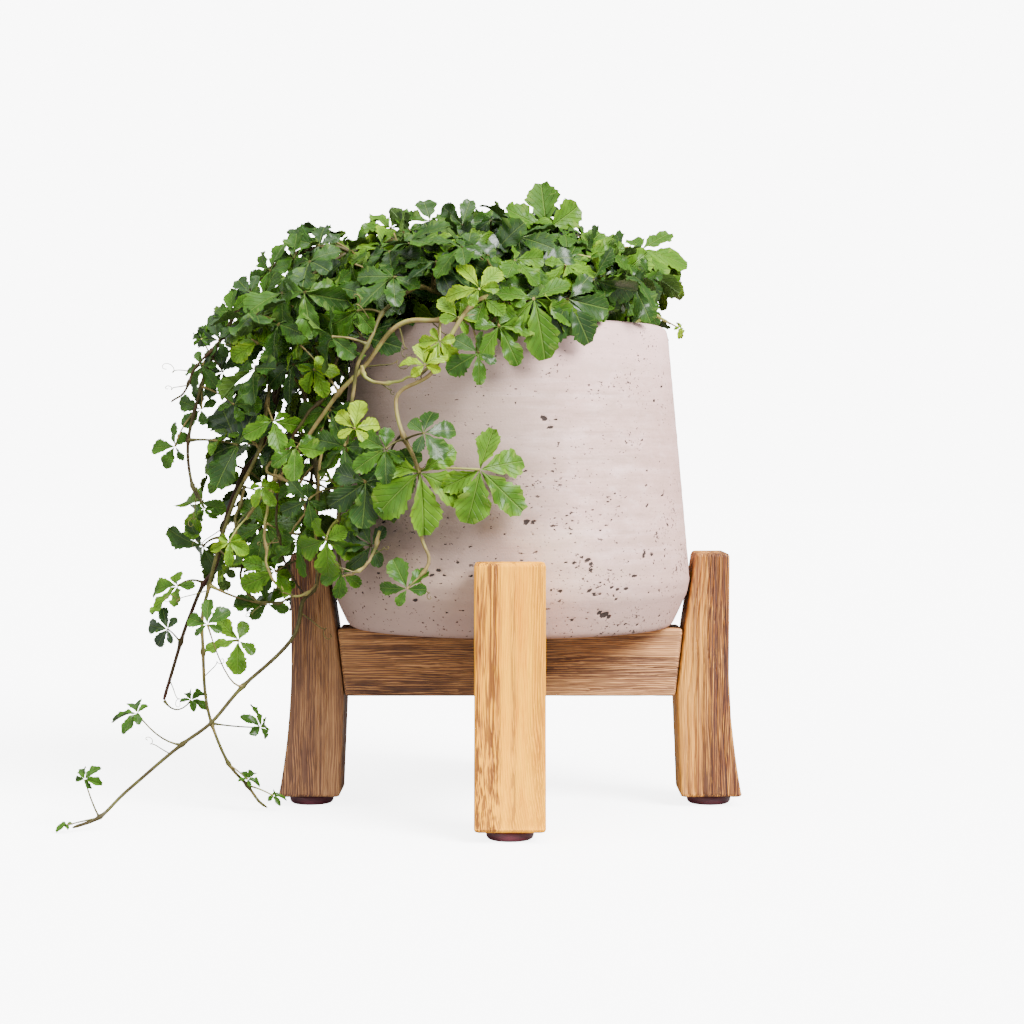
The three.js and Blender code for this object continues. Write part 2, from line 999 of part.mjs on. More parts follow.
// The leaves that a vine's rule places: alternate sides, outwards and up from the stem,
// each facing out and up, a little smaller towards the tip.
function ruledLeaves(vine, line) {
  if (!vine.fill) return [];
  const [from, to, spacing, size, seed] = vine.fill;
  const random = draws(seed);
  const lengths = [0];
  for (let i = 1; i < line.length; i++) lengths.push(lengths[i - 1] + line[i].distanceTo(line[i - 1]));
  const placed = [];
  let side = 1;
  for (let wanted = from; wanted < Math.min(to, lengths[lengths.length - 1]); wanted += spacing) {
    const jitter = [random(), random(), random(), random(), random()];
    let i = 1;
    while (lengths[i] < wanted) i += 1;
    const share = (wanted - lengths[i - 1]) / (lengths[i] - lengths[i - 1]);
    const start = line[i - 1].clone().lerp(line[i], share);
    const along = line[i].clone().sub(line[i - 1]).normalize();
    const outward = new THREE.Vector3(start.x, start.y, 0).normalize();
    const aside = along.clone().cross(outward).normalize().multiplyScalar(side);
    const reach = 12 + 9 * jitter[0];
    const way = outward
      .clone()
      .multiplyScalar(0.75)
      .addScaledVector(aside, 0.9)
      .addScaledVector(up, 0.25 + 0.4 * jitter[1])
      .normalize();
    const hub = start.clone().addScaledVector(way, reach);
    placed.push({
      start,
      hub,
      outward,
      way,
      side: aside,
      lean: jitter[2] - 0.5,
      roll: jitter[3] - 0.5,
      size: size * (0.82 + 0.36 * jitter[4]),
    });
    side = -side;
  }
  return placed;
}

function ruledLeaf(seat, turn) {
  const facing = seat.outward
    .clone()
    .multiplyScalar(0.75)
    .addScaledVector(up, 0.7 + 0.5 * seat.lean + turn[1] / 60)
    .addScaledVector(seat.side, 0.3 + 0.5 * seat.roll + turn[0] / 60)
    .normalize();
  const hub = seat.hub.clone().addScaledVector(facing, turn[2]);
  const pointing = levelled(seat.way.clone().addScaledVector(up, -0.9), facing);
  return { start: seat.start, hub, facing, pointing, size: seat.size, bow: 3 };
}

// Every solid that a new leaf has to stay clear of, with the vine that owns it.
const standing = [];
for (const mesh of [...potted.children, ...stand.children].flatMap((o) => [o, ...o.children])) {
  if (!mesh.isMesh) continue;
  mesh.updateWorldMatrix(true, false);
  const solid = solidOf(mesh.geometry.clone().applyMatrix4(mesh.matrixWorld));
  standing.push({ owner: mesh.name, solid, box: solid.boundingBox() });
}

// A vine's own stem is left out, and of its own leaves only the blades count, because its
// stalks may spring from one point.
function isClear(solid, owner) {
  const box = solid.boundingBox();
  return standing.every((other) => {
    const rival = other.owner === owner ? other.blade : other.solid;
    if (!rival) return true;
    for (let axis = 0; axis < 3; axis++)
      if (box.min[axis] > other.box.max[axis] + 1 || box.max[axis] < other.box.min[axis] - 1) return true;
    return solid.minGap(rival, 1) > gap;
  });
}

function keep(owner, solid, blade) {
  standing.push({ owner, solid, blade, box: solid.boundingBox() });
}

const grown = vines.map((vine) => {
  const line = stemLine(vine);
  const body = solidOf(tube(line, vine.radius, vine.radius * 0.6, stem.sides));
  if (!isClear(body, vine.name)) throw new Error(vine.name + " crosses its neighbour");
  keep(vine.name, body);
  return { vine, line, pieces: [body] };
});

// A leaf goes in at the first turn that is clear of its neighbours and above the floor.
function addLeaf(growing, made) {
  for (const turn of turns) {
    const shape = made(turn);
    const flat = solidOf(blade(shape));
    const whole = flat.add(solidOf(stalk(shape)));
    if (whole.boundingBox().min[2] > 0.2 && isClear(whole, growing.vine.name)) {
      keep(growing.vine.name, whole, flat);
      growing.pieces.push(whole);
      return;
    }
  }
}

for (const growing of grown)
  for (const row of growing.vine.leaves ?? [])
    addLeaf(growing, (turn) => pickedLeaf(growing.line, row, turn));
for (const growing of grown)
  for (const seat of ruledLeaves(growing.vine, growing.line))
    addLeaf(growing, (turn) => ruledLeaf(seat, turn));

const plant = new THREE.Group();
potted.add(plant);
for (const { vine, pieces } of grown) {
  const whole = wasm.Manifold.union(pieces);
  addPiece(plant, "vine_" + vine.name, geometryOf(whole), foliage);
}

// The origin is the middle of the footprint, on the floor.
const bounds = new THREE.Box3().setFromObject(potted);
potted.position.set(
  -(bounds.min.x + bounds.max.x) / 2,
  -(bounds.min.y + bounds.max.y) / 2,
  0,
);

export default potted;
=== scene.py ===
import math
import bpy
import numpy as np
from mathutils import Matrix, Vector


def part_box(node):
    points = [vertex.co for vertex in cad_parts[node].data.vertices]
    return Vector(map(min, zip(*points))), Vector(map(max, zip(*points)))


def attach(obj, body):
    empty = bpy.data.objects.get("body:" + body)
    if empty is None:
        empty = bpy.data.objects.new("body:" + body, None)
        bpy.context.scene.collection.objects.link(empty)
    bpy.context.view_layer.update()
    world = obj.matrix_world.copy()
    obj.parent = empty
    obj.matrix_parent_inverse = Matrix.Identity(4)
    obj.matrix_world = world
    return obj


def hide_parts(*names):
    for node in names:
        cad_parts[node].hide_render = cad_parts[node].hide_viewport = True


# Potted miniature grape ivy: weathered stand, pitted concrete pot, soil, and vines with
# toothed palmate leaves. Lengths are millimetres about the pot's own axis until the
# points go into a mesh, where they become metres in the frame.
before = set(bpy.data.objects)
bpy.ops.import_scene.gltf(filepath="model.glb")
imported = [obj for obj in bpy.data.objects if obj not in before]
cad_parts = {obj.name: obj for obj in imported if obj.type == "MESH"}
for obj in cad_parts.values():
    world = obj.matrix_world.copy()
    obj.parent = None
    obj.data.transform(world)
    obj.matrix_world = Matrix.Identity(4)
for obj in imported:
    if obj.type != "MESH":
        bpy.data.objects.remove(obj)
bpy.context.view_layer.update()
potLow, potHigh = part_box("pot")
potAxis = np.array([(potLow.x + potHigh.x) / 2, (potLow.y + potHigh.y) / 2, 0])


# Meshes: parts are dictionaries of points, faces, map, tone and finish.
def facedOut(part):
    # Turns a closed part's faces round if the volume that they enclose comes out negative.
    corners = part["points"][part["faces"]]
    a, b, c, d = corners[:, 0], corners[:, 1], corners[:, 2], corners[:, 3]
    volume = (a * np.cross(b, c)).sum() + (a * np.cross(c, d)).sum()
    return part["faces"] if volume > 0 else part["faces"][:, [1, 0, 3, 2]]


def joinParts(parts):
    # Puts parts end to end: the corner numbers of each are raised by the corners before it.
    joined = {key: [] for key in ("points", "uv", "tone", "faces", "finish")}
    before = 0
    for part in parts:
        count = len(part["points"])
        joined["points"].append(part["points"])
        joined["uv"].append(part.get("uv", np.zeros((count, 2))))
        joined["tone"].append(np.broadcast_to(part.get("tone", 0.5), count))
        joined["faces"].append(facedOut(part) + before)
        joined["finish"].append(np.full(len(part["faces"]), part.get("finish", 0)))
        before += count
    return {key: np.concatenate(value) for key, value in joined.items()}


def makePiece(name, parts, materials, nodes=(), sharp=60):
    # A face is four corners; a triangle repeats its last corner, and the repeat is dropped.
    whole = joinParts(parts)
    faces = whole["faces"]
    kept = np.ones(faces.shape, bool)
    kept[:, 3] = faces[:, 3] != faces[:, 2]
    corners = faces[kept]
    starts = np.concatenate([[0], np.cumsum(kept.sum(1))[:-1]])
    mesh = bpy.data.meshes.new(name)
    mesh.vertices.add(len(whole["points"]))
    mesh.vertices.foreach_set("co", (whole["points"] / 1000 + potAxis).astype(np.float32).ravel())
    mesh.loops.add(len(corners))
    mesh.loops.foreach_set("vertex_index", corners.astype(np.int32))
    mesh.polygons.add(len(faces))
    mesh.polygons.foreach_set("loop_start", starts.astype(np.int32))
    mesh.polygons.foreach_set("material_index", whole["finish"].astype(np.int32))
    mesh.polygons.foreach_set("use_smooth", np.ones(len(faces), bool))
    mesh.update(calc_edges=True)
    layer = mesh.uv_layers.new(name="UVMap")
    layer.data.foreach_set("uv", whole["uv"][corners].astype(np.float32).ravel())
    tone = mesh.attributes.new("tone", "FLOAT", "POINT")
    tone.data.foreach_set("value", whole["tone"].astype(np.float32))
    mesh.set_sharp_from_angle(angle=math.radians(sharp))
    for material in materials:
        mesh.materials.append(material)
    piece = bpy.data.objects.new(name, mesh)
    bpy.context.scene.collection.objects.link(piece)
    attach(piece, "root")
    if nodes:
        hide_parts(*nodes)
    return piece


def gridFaces(rows, columns):
    # Faces between neighbouring rings; the last column joins the first.
    row, column = np.meshgrid(np.arange(rows - 1), np.arange(columns), indexing="ij")
    here = row * columns + column
    beside = row * columns + (column + 1) % columns
    return np.stack([here, beside, beside + columns, here + columns], -1).reshape(-1, 4)


def fanFaces(ring, middle, flip):
    # Triangles from one middle corner to each side of a ring.
    beside = np.roll(ring, -1)
    pair = (beside, ring) if flip else (ring, beside)
    return np.stack([pair[0], pair[1], np.full(len(ring), middle), np.full(len(ring), middle)], -1)


def closedFaces(rows, columns, first=0):
    # Rings from the first one on, closed at both ends by fans about the two corners after them.
    ring, end = np.arange(columns), rows * columns
    return np.concatenate([
        gridFaces(rows, columns)[first * columns :],
        fanFaces(ring + first * columns, end, True),
        fanFaces(ring + end - columns, end + 1, False),
    ])


def ringAngles(count):
    return 2 * np.pi * np.arange(count) / count


def turned(radius, height, angle):
    # A profile turned round the axis: point = (r cos a, r sin a, z).
    return np.stack(np.broadcast_arrays(radius * np.cos(angle), radius * np.sin(angle), height), -1)


def repeatFaces(faces, copies, stride):
    return (faces[None] + np.arange(copies)[:, None, None] * stride).reshape(-1, 4)


def unit(vectors):
    return vectors / np.maximum(np.linalg.norm(vectors, axis=-1, keepdims=True), 1e-9)


def sweepTubes(paths, radii, sides, finish=0, tone=0.5):
    # A circle carried along each path: point = path + radius * (normal cos a + binormal sin a),
    # with normal square to the path's direction and to whichever fixed direction suits it best.
    paths = np.asarray(paths, float)
    count, steps, _ = paths.shape
    along = unit(np.gradient(paths, axis=1))
    guides = [[1, 0, 0], [0, 1, 0], [0, 0, 1], [1, 1, 0], [1, -1, 0], [0, 1, 1], [1, 0, 1.0]]
    guides = unit(np.array(guides))
    worst = np.abs(along @ guides.T).max(1)
    guide = guides[worst.argmin(1)][:, None, :]
    normal = unit(np.cross(guide, along))
    binormal = np.cross(along, normal)
    angle = ringAngles(sides)
    radii = np.broadcast_to(radii, (count, steps))[:, :, None, None]
    rings = paths[:, :, None] + radii * (
        normal[:, :, None] * np.cos(angle)[:, None] + binormal[:, :, None] * np.sin(angle)[:, None]
    )
    points = np.concatenate([rings.reshape(count, -1, 3), paths[:, :1], paths[:, -1:]], 1)
    stride = steps * sides + 2
    uv = np.zeros((count, stride, 2))
    uv[:, : steps * sides, 0] = np.tile(np.arange(sides) / sides, steps)
    uv[:, : steps * sides, 1] = np.repeat(np.linspace(0, 1, steps), sides)
    return {
        "points": points.reshape(-1, 3),
        "faces": repeatFaces(closedFaces(steps, sides), count, stride),
        "uv": uv.reshape(-1, 2),
        "tone": np.broadcast_to(np.reshape(tone, (-1, 1)), (count, stride)).reshape(-1),
        "finish": finish,
    }


def waves(values, seed, count, low, high):
    # A smooth random line: the mean of sines of random pitch and phase, about -1 to 1.
    random = np.random.default_rng(seed)
    pitch = random.uniform(low, high, count)
    phase = random.uniform(0, 2 * np.pi, count)
    return np.sin(2 * np.pi * values[..., None] * pitch + phase).sum(-1) / math.sqrt(count)


# Materials: small helpers that find the node tree from a socket, then one function for each
# finish beside its piece.
def newMaterial(name, roughness, specular=0.5, coat=0.0, coatRoughness=0.2):
    material = bpy.data.materials.new(name)
    material.use_nodes = True
    surface = material.node_tree.nodes["Principled BSDF"]
    surface.inputs["Roughness"].default_value = roughness
    surface.inputs["Specular IOR Level"].default_value = specular
    surface.inputs["Coat Weight"].default_value = coat
    surface.inputs["Coat Roughness"].default_value = coatRoughness
    return material, material.node_tree, surface


def addNode(tree, kind, inputs=(), output=0, **settings):
    # Adds a node, sets its settings, and gives each input a value or a link.
    made = tree.nodes.new("ShaderNode" + kind)
    for key, value in settings.items():
        setattr(made, key, value)
    for key, value in dict(inputs).items():
        if isinstance(value, bpy.types.NodeSocket):
            tree.links.new(value, made.inputs[key])
        else:
            made.inputs[key].default_value = value
    return made.outputs[output]


def feed(node, name, value):
    node.id_data.links.new(value, node.inputs[name])


def maths(operation, a, b=0.0):
    tree = (a if isinstance(a, bpy.types.NodeSocket) else b).id_data
    return addNode(tree, "Math", {0: a, 1: b}, operation=operation)


def times(a, b):
    return maths("MULTIPLY", a, b)


def plus(a, b):
    return maths("ADD", a, b)


def minus(a, b):
    return maths("SUBTRACT", a, b)


def most(a, b):
    return maths("MAXIMUM", a, b)


def apart(a, b):
    return maths("ABSOLUTE", minus(a, b))


def ramp(value, stops):
    made = addNode(value.id_data, "ValToRGB", {0: value})
    elements = made.node.color_ramp.elements
    while len(elements) < len(stops):
        elements.new(1.0)
    for element, (place, colour) in zip(elements, stops):
        element.position = place
        element.color = (*colour, 1)
    return made


def mixColour(share, base, colour):
    return addNode(base.id_data, "Mix", {0: share, 6: base, 7: (*colour, 1)}, 2, data_type="RGBA")


def between(value, low, high, start=0.0, end=1.0):
    # Turns low..high into start..end, held at both ends.
    return addNode(value.id_data, "MapRange", {0: value, 1: low, 2: high, 3: start, 4: end})


def stretched(tree, scale, place=(0, 0, 0)):
    # Object coordinates, moved and scaled.
    coordinates = addNode(tree, "TexCoord", output=3)
    return addNode(tree, "Mapping", {"Vector": coordinates, "Location": place, "Scale": scale})


def noise(tree, scale, detail=4.0, roughness=0.55, place=(0, 0, 0)):
    inputs = {"Vector": stretched(tree, scale, place), "Scale": 1.0, "Detail": detail}
    return addNode(tree, "TexNoise", {**inputs, "Roughness": roughness})


def axes(vector):
    return addNode(vector.id_data, "SeparateXYZ", {0: vector}).node.outputs


def toneOf(tree):
    return addNode(tree, "Attribute", output=2, attribute_name="tone")


def bump(surface, height, distance, strength):
    inputs = {"Height": height, "Distance": distance, "Strength": strength}
    feed(surface, "Normal", addNode(surface.id_data, "Bump", inputs))


# Camera, lamps and floor
camera = {"distance": 1.065, "height": 0.1772, "right": 0.0009, "lens": 74.4, "shift": -0.0605}
studio = {
    "ambient": 0.6,
    "backdrop": 9,  # what the camera sees past the floor
    "floor": 0.95,
    "bounce": 0.26,  # how much light the floor sends back to the plant
    "glow": 5.2,  # lifts the floor to the backdrop
    "lamps": {"key": (45, 36, 12.9, 34), "fill": (-50, 30, 2.3, 60), "top": (10, 80, 3.0, 50)},
}


def makeCamera():
    data = bpy.data.cameras.new("camera")
    data.sensor_width = 36
    data.lens = camera["lens"]
    data.shift_y = camera["shift"]
    eye = bpy.data.objects.new("camera", data)
    eye.location = (potAxis[0] + camera["right"], potAxis[1] - camera["distance"], camera["height"])
    eye.rotation_euler = (math.pi / 2, 0, 0)
    bpy.context.scene.collection.objects.link(eye)
    bpy.context.scene.camera = eye


def makeLamp(name, turn, rise, power, softness):
    # A broad far lamp: turn is degrees from the front towards the right, rise degrees up.
    data = bpy.data.lights.new(name, "SUN")
    data.energy = power
    data.angle = math.radians(softness)
    lamp = bpy.data.objects.new(name, data)
    lamp.rotation_euler = (math.radians(90 - rise), 0, math.radians(turn))
    bpy.context.scene.collection.objects.link(lamp)


def makeStudio():
    # What the camera sees, and what lights the plant, are set apart by the ray's kind.
    world = bpy.data.worlds.new("studio")
    world.use_nodes = True
    background = world.node_tree.nodes["Background"]
    background.inputs[0].default_value = (1, 1, 1, 1)
    seen = addNode(world.node_tree, "LightPath")
    feed(background, 1, between(seen, 0, 1, studio["ambient"], studio["backdrop"]))
    bpy.context.scene.world = world
    for name, settings in studio["lamps"].items():
        makeLamp(name, *settings)
    material, tree, surface = newMaterial("floor", 0.9, 0.1)
    seen = addNode(tree, "LightPath")
    feed(surface, "Base Color", between(seen, 0, 1, studio["bounce"], studio["floor"]))
    surface.inputs["Emission Color"].default_value = (1, 1, 1, 1)
    feed(surface, "Emission Strength", between(seen, 0, 1, 0, studio["glow"]))
    mesh = bpy.data.meshes.new("floor")
    mesh.from_pydata([(-6, -6, 0), (6, -6, 0), (6, 6, 0), (-6, 6, 0)], [], [(0, 1, 2, 3)])
    mesh.materials.append(material)
    floor = bpy.data.objects.new("floor", mesh)
    bpy.context.scene.collection.objects.link(floor)


makeCamera()
makeStudio()
print("camera, lamps and floor done")

# Stand: four legs, two lapped bars and the glides under the legs
wood = {
    "round": 1.5,  # worn edge radius, mm
    "groove": 0.26,  # depth of the brushed grain, mm
    "perSide": 36,
    "steps": 64,
}


def timber(along, low, high, halfWidth, seed, groove):
    # A rounded rectangle carried along a straight line, with the grain brushed into it.
    # Across the ring, x = middle + a + r nx and y = b + r ny, where a and b run along the
    # straight sides and n turns round each corner; the grain is a sum of sines of the
    # place across each side that wanders slowly along the piece.
    k, edge = wood["perSide"], wood["round"]
    share = np.arange(1, k + 1) / (k + 1)
    signs = np.array([[1, 1], [-1, 1], [-1, -1], [1, -1]])
    arcs = np.arange(5) / 4
    aside, normal, side = [], [], []
    for i, sign in enumerate(signs):
        turn = np.pi / 2 * (i + arcs)
        aside.append(np.tile(sign, (5, 1)))
        normal.append(np.stack([np.cos(turn), np.sin(turn)], -1))
        following = signs[(i + 1) % 4]
        aside.append(sign + (following - sign) * share[:, None])
        flat = np.pi / 2 * (i + 1)
        normal.append(np.tile([math.cos(flat), math.sin(flat)], (k, 1)))
        side += [i] * 5 + [i + 1] * k
    aside, normal = np.concatenate(aside), np.concatenate(normal)
    side = np.array(side) % 4
    halfDepth = (high - low) / 2
    across = np.where(side % 2 == 0, aside[:, 1] * halfWidth, aside[:, 0] * halfDepth.mean()) + 37 * side
    wander = 1.1 * waves(along[:, None] / 60 + across[None] / 90, seed + 1, 3, 0.5, 1.5)
    lines = waves(across[None] + wander, seed, 8, 0.22, 0.75)
    relief = -groove * np.clip(lines + 0.15, 0, 1.3) ** 2
    relief = relief * (1 - 0.6 * np.clip((np.abs(aside).min(1) - 0.9) * 10, 0, 1))
    middle = (low + high)[:, None] / 2
    depth = aside[:, 0] * (halfDepth[:, None] - edge) + normal[:, 0] * (edge + relief)
    width = aside[:, 1] * (halfWidth - edge) + normal[:, 1] * (edge + relief)
    # Each end is rounded by three rings: inset by one edge, by a third of it, and not at all.
    rows = np.concatenate([[0, 0], np.arange(len(along)), [-1, -1]])
    inset = np.concatenate([[1, 0.3], np.zeros(len(along)), [0.3, 1]])[:, None] * edge
    place = np.concatenate([[along[0], along[0] + 0.3 * edge], along, [along[-1] - 0.3 * edge, along[-1]]])
    place[2] += edge
    place[-3] -= edge
    depth = depth[rows] * (1 - inset / halfDepth[rows][:, None])
    width = width[rows] * (1 - inset / halfWidth)
    stack = np.stack([middle[rows] + depth, width, np.broadcast_to(place[:, None], depth.shape)], -1)
    tones = np.clip(-relief[rows] / groove, 0, 1)
    caps = np.array([[middle[0, 0], 0, along[0]], [middle[-1, 0], 0, along[-1]]])
    return {
        "points": np.concatenate([stack.reshape(-1, 3), caps]),
        "faces": closedFaces(*depth.shape),
        "tone": np.concatenate([tones.ravel(), [0.3, 0.3]]),
    }


def woodMaterial(name, look):
    # Streaks stretched along the grain, broad blotches, fine hairs both light and dark, darker
    # bands where the look places them, as x in mm, half width and strength, and brushed lines
    # 1.2 mm apart that wander: the place across the grain over 1.2 mm, plus noise, has a
    # fraction that is light at 0 and dark at 0.5.
    material, tree, surface = newMaterial(name, 0.62, look["gloss"])
    grain = look["grain"]  # scale of the pattern along X, Y and Z

    def grained(scale, detail, roughness, place=look["place"]):
        return noise(tree, [g * scale for g in grain], detail, roughness, place)

    fine = grained(330, 5, 0.6)
    thin = grained(880, 2, 0.6)
    wide = grained(600, 2, 0.5, (0.7, 0.3, 0.2))
    hair = grained(1600, 2, 0.6, (0.2, 0.6, 0.4))
    broad = grained(70, 3, 0.5)
    blotch = noise(tree, (24, 24, 14), 3, 0.5, look["place"])
    base = ramp(fine, [(0.36, look["dark"]), (0.5, look["mid"]), (0.64, look["light"])])
    base = mixColour(between(blotch, 0.46, 0.62, 0, look["blotches"]), base, look["blotch"])
    streak = times(between(broad, 0.44, 0.64), look["streaks"])
    x = axes(stretched(tree, (1000, 1000, 1000)))[0]
    for middle, half, strength in look["bands"]:
        torn = times(between(thin, 0.36, 0.56), strength)
        band = between(apart(x, middle + 1000 * potAxis[0]), half, half * 0.3)
        streak = most(streak, times(band, torn))
    base = mixColour(streak, base, look["streak"])
    x, y, z = axes(stretched(tree, [1000 / 1.2 * (g == 1) for g in grain]))
    wander = noise(tree, [75 * g**0.5 for g in grain], 2, 0.5, look["place"])
    phase = maths("FRACT", plus(plus(plus(x, y), z), times(wander, 6.0)))
    brush = times(apart(phase, 0.5), 2.0)
    ridges = times(between(brush, 0.5, 0.9, 0, look["ridges"]), between(streak, 0, 1, 1, 0.15))
    base = mixColour(ridges, base, look["light"])
    base = mixColour(between(hair, 0.45, 0.35, 0, look["hairs"]), base, look["light"])
    depth = most(between(thin, 0.56, 0.60), between(wide, 0.61, 0.65))
    narrow = minus(minus(plus(brush, times(thin, 1.8)), 0.9), times(streak, 0.3))
    depth = most(depth, between(narrow, 0.34, 0.2))
    depth = most(depth, between(hair, 0.56, 0.64, 0, look["hairs"]))
    patchy = times(between(plus(broad, times(blotch, -0.4)), 0.2, 0.42, 0.35, 1), look["lines"])
    depth = times(depth, most(patchy, times(streak, 0.85)))
    depth = most(depth, times(toneOf(tree), look["grooves"]))
    feed(surface, "Base Color", mixColour(depth, base, look["groove"]))
    feed(surface, "Roughness", between(fine, 0.3, 0.7, 0.5, 0.72))
    bump(surface, minus(times(fine, 0.5), depth), 0.0005, 0.75)
    return material


brownLook = {
    "dark": (0.17, 0.072, 0.029), "mid": (0.31, 0.14, 0.053), "light": (0.54, 0.27, 0.10),
    "streak": (0.13, 0.052, 0.032), "streaks": 0.7, "blotch": (0.58, 0.30, 0.12), "blotches": 0.5,
    "groove": (0.052, 0.02, 0.013), "grooves": 0.3, "lines": 0.9, "ridges": 0.5, "hairs": 0.75,
    "bands": (), "place": (0, 0, 0), "gloss": 0.3, "grain": (1, 1, 0.033),
}
paleLook = {
    "dark": (0.72, 0.25, 0.005), "mid": (0.95, 0.38, 0.002), "light": (0.99, 0.44, 0.004),
    "streak": (0.28, 0.11, 0.045), "streaks": 0.3, "blotch": (0.99, 0.40, 0.004), "blotches": 0.5,
    "groove": (0.13, 0.045, 0.012), "grooves": 0.12, "lines": 0.42, "ridges": 0.4, "hairs": 0.5,
    "bands": ((-7.5, 4.5, 0.95), (-14, 3, 0.95), (-11, 9, 0.75), (1.5, 2, 0.5)),
    "place": (0.31, 0.2, 0), "gloss": 0.0, "grain": (1, 1, 0.05),
}
# A darker copy of the brown wood for the left and back legs: painted shade, for the shadow of the pot and
# foliage on them.
shadedLook = {
    **brownLook,
    "dark": (0.115, 0.048, 0.020), "mid": (0.210, 0.093, 0.036), "light": (0.37, 0.18, 0.07),
}
rightLook = {
    **brownLook,
    "mid": (0.43, 0.155, 0.020), "light": (0.80, 0.35, 0.050), "blotch": (0.78, 0.36, 0.045),
    "streak": (0.15, 0.038, 0.013), "streaks": 0.95, "place": (0.4, 0.7, 0.3),
    "bands": ((93, 2, 0.6), (101.5, 2.6, 0.9), (107, 3.2, 1.6), (112.5, 4.5, 1.0)),
}
# A paler copy of the brown wood for the bars: painted light that lifts the shade under the pot.
barLook = {
    **brownLook,
    "dark": (0.25, 0.11, 0.043), "mid": (0.50, 0.22, 0.080), "light": (0.76, 0.37, 0.14),
}


def legProfile(height):
    # The inner and outer face of a leg at a height, as distances from the pot's axis.
    inner = np.interp(height, [5, 55, 88.5, 126], [84.5, 82.5, 86.5, 92.2])
    flare = np.clip((72 - height) / 67, 0, 1)
    outer = 108.6 + 6.4 * flare**1.9 + 0.4 * np.clip((height - 72) / 54, 0, 1)
    return inner, outer


def turnAbout(points, quarter):
    angle = quarter * np.pi / 2
    c, s = round(math.cos(angle)), round(math.sin(angle))
    return points @ np.array([[c, -s, 0], [s, c, 0], [0, 0, 1]]).T


def makeStand():
    # Four legs of one section, then the bars; each is turned about the axis by quarters.
    # painted shade: the left and back legs take the darker copy of the brown wood
    brown = woodMaterial("weathered brown wood", shadedLook)
    brownRight = woodMaterial("weathered brown wood, right leg", rightLook)
    pale = woodMaterial("pale oiled wood", paleLook)
    # painted light: the bars take the paler copy of the brown wood
    alongX = woodMaterial("weathered bar across", {**barLook, "grain": (0.033, 1, 1), "streaks": 0.6})
    alongY = woodMaterial("weathered bar front to back", {**barLook, "grain": (1, 0.033, 1)})
    height = np.linspace(5, 126, wood["steps"])
    inner, outer = legProfile(height)
    legs = {"right": (0, brownRight), "back": (1, brown), "left": (2, brown), "front": (3, pale)}
    for seed, (side, (quarter, finish)) in enumerate(legs.items()):
        groove = wood["groove"] * (0.35 if side == "front" else 1)
        part = timber(height, inner, outer, 16.25, 11 + seed, groove)
        part["points"] = turnAbout(part["points"], quarter)
        makePiece("leg_" + side + "_wood", [part], [finish], ["leg_" + side], 40)
    # A bar lies along X: its section's X is height here, and the lap takes half of it away.
    for name, quarter, finish, upper in (
        ("bar_across", 0, alongX, False),
        ("bar_front_to_back", 1, alongY, True),
    ):
        lap = 15.2
        half = np.linspace(lap, 85.9, 24)
        inside = np.linspace(-lap + 0.05, lap - 0.05, 7)
        place = np.concatenate([-half[::-1], inside, half])
        cut = np.abs(place) < lap
        low = np.where(cut & upper, 71.9, 55.0)
        high = np.where(cut & (not upper), 71.6, 88.5)
        part = timber(place, low, high, 15, 31 + quarter, wood["groove"])
        points = part["points"][:, [2, 1, 0]]
        slant = 1 - 0.0434 * (88.5 - points[:, 2]) / 33.5
        points[:, 0] *= np.where(np.abs(points[:, 0]) > lap + 2, slant, 1)
        part["points"] = turnAbout(points, quarter)
        makePiece(name + "_wood", [part], [finish], [name], 40)


def makeFeet():
    # Turned glides: a profile of radius and height carried round each foot's axis.
    material, tree, surface = newMaterial("red-brown glide", 0.42, 0.5)
    worn = noise(tree, (90, 90, 90))
    feed(surface, "Base Color", ramp(worn, [(0.3, (0.055, 0.010, 0.016)), (0.7, (0.13, 0.026, 0.040))]))
    bump(surface, worn, 0.0003, 0.4)
    profile = [[8.6, 0], [9.6, 0.15], [10.4, 0.7], [10.85, 1.6], [11, 2.6], [11, 3.9], [10.7, 4.5], [10,
        4.7]]
    profile = np.array(profile)
    for quarter, side in enumerate(("right", "back", "left", "front")):
        points = turned(profile[:, :1], profile[:, 1:], ringAngles(40))
        points = np.concatenate([points.reshape(-1, 3), [[0, 0, 0], [0, 0, 4.7]]])
        points[:, 0] += 99.75
        part = {"points": turnAbout(points, quarter), "faces": closedFaces(len(profile), 40)}
        makePiece("foot_" + side + "_glide", [part], [material], ["foot_" + side])


makeStand()
makeFeet()
print("stand done")

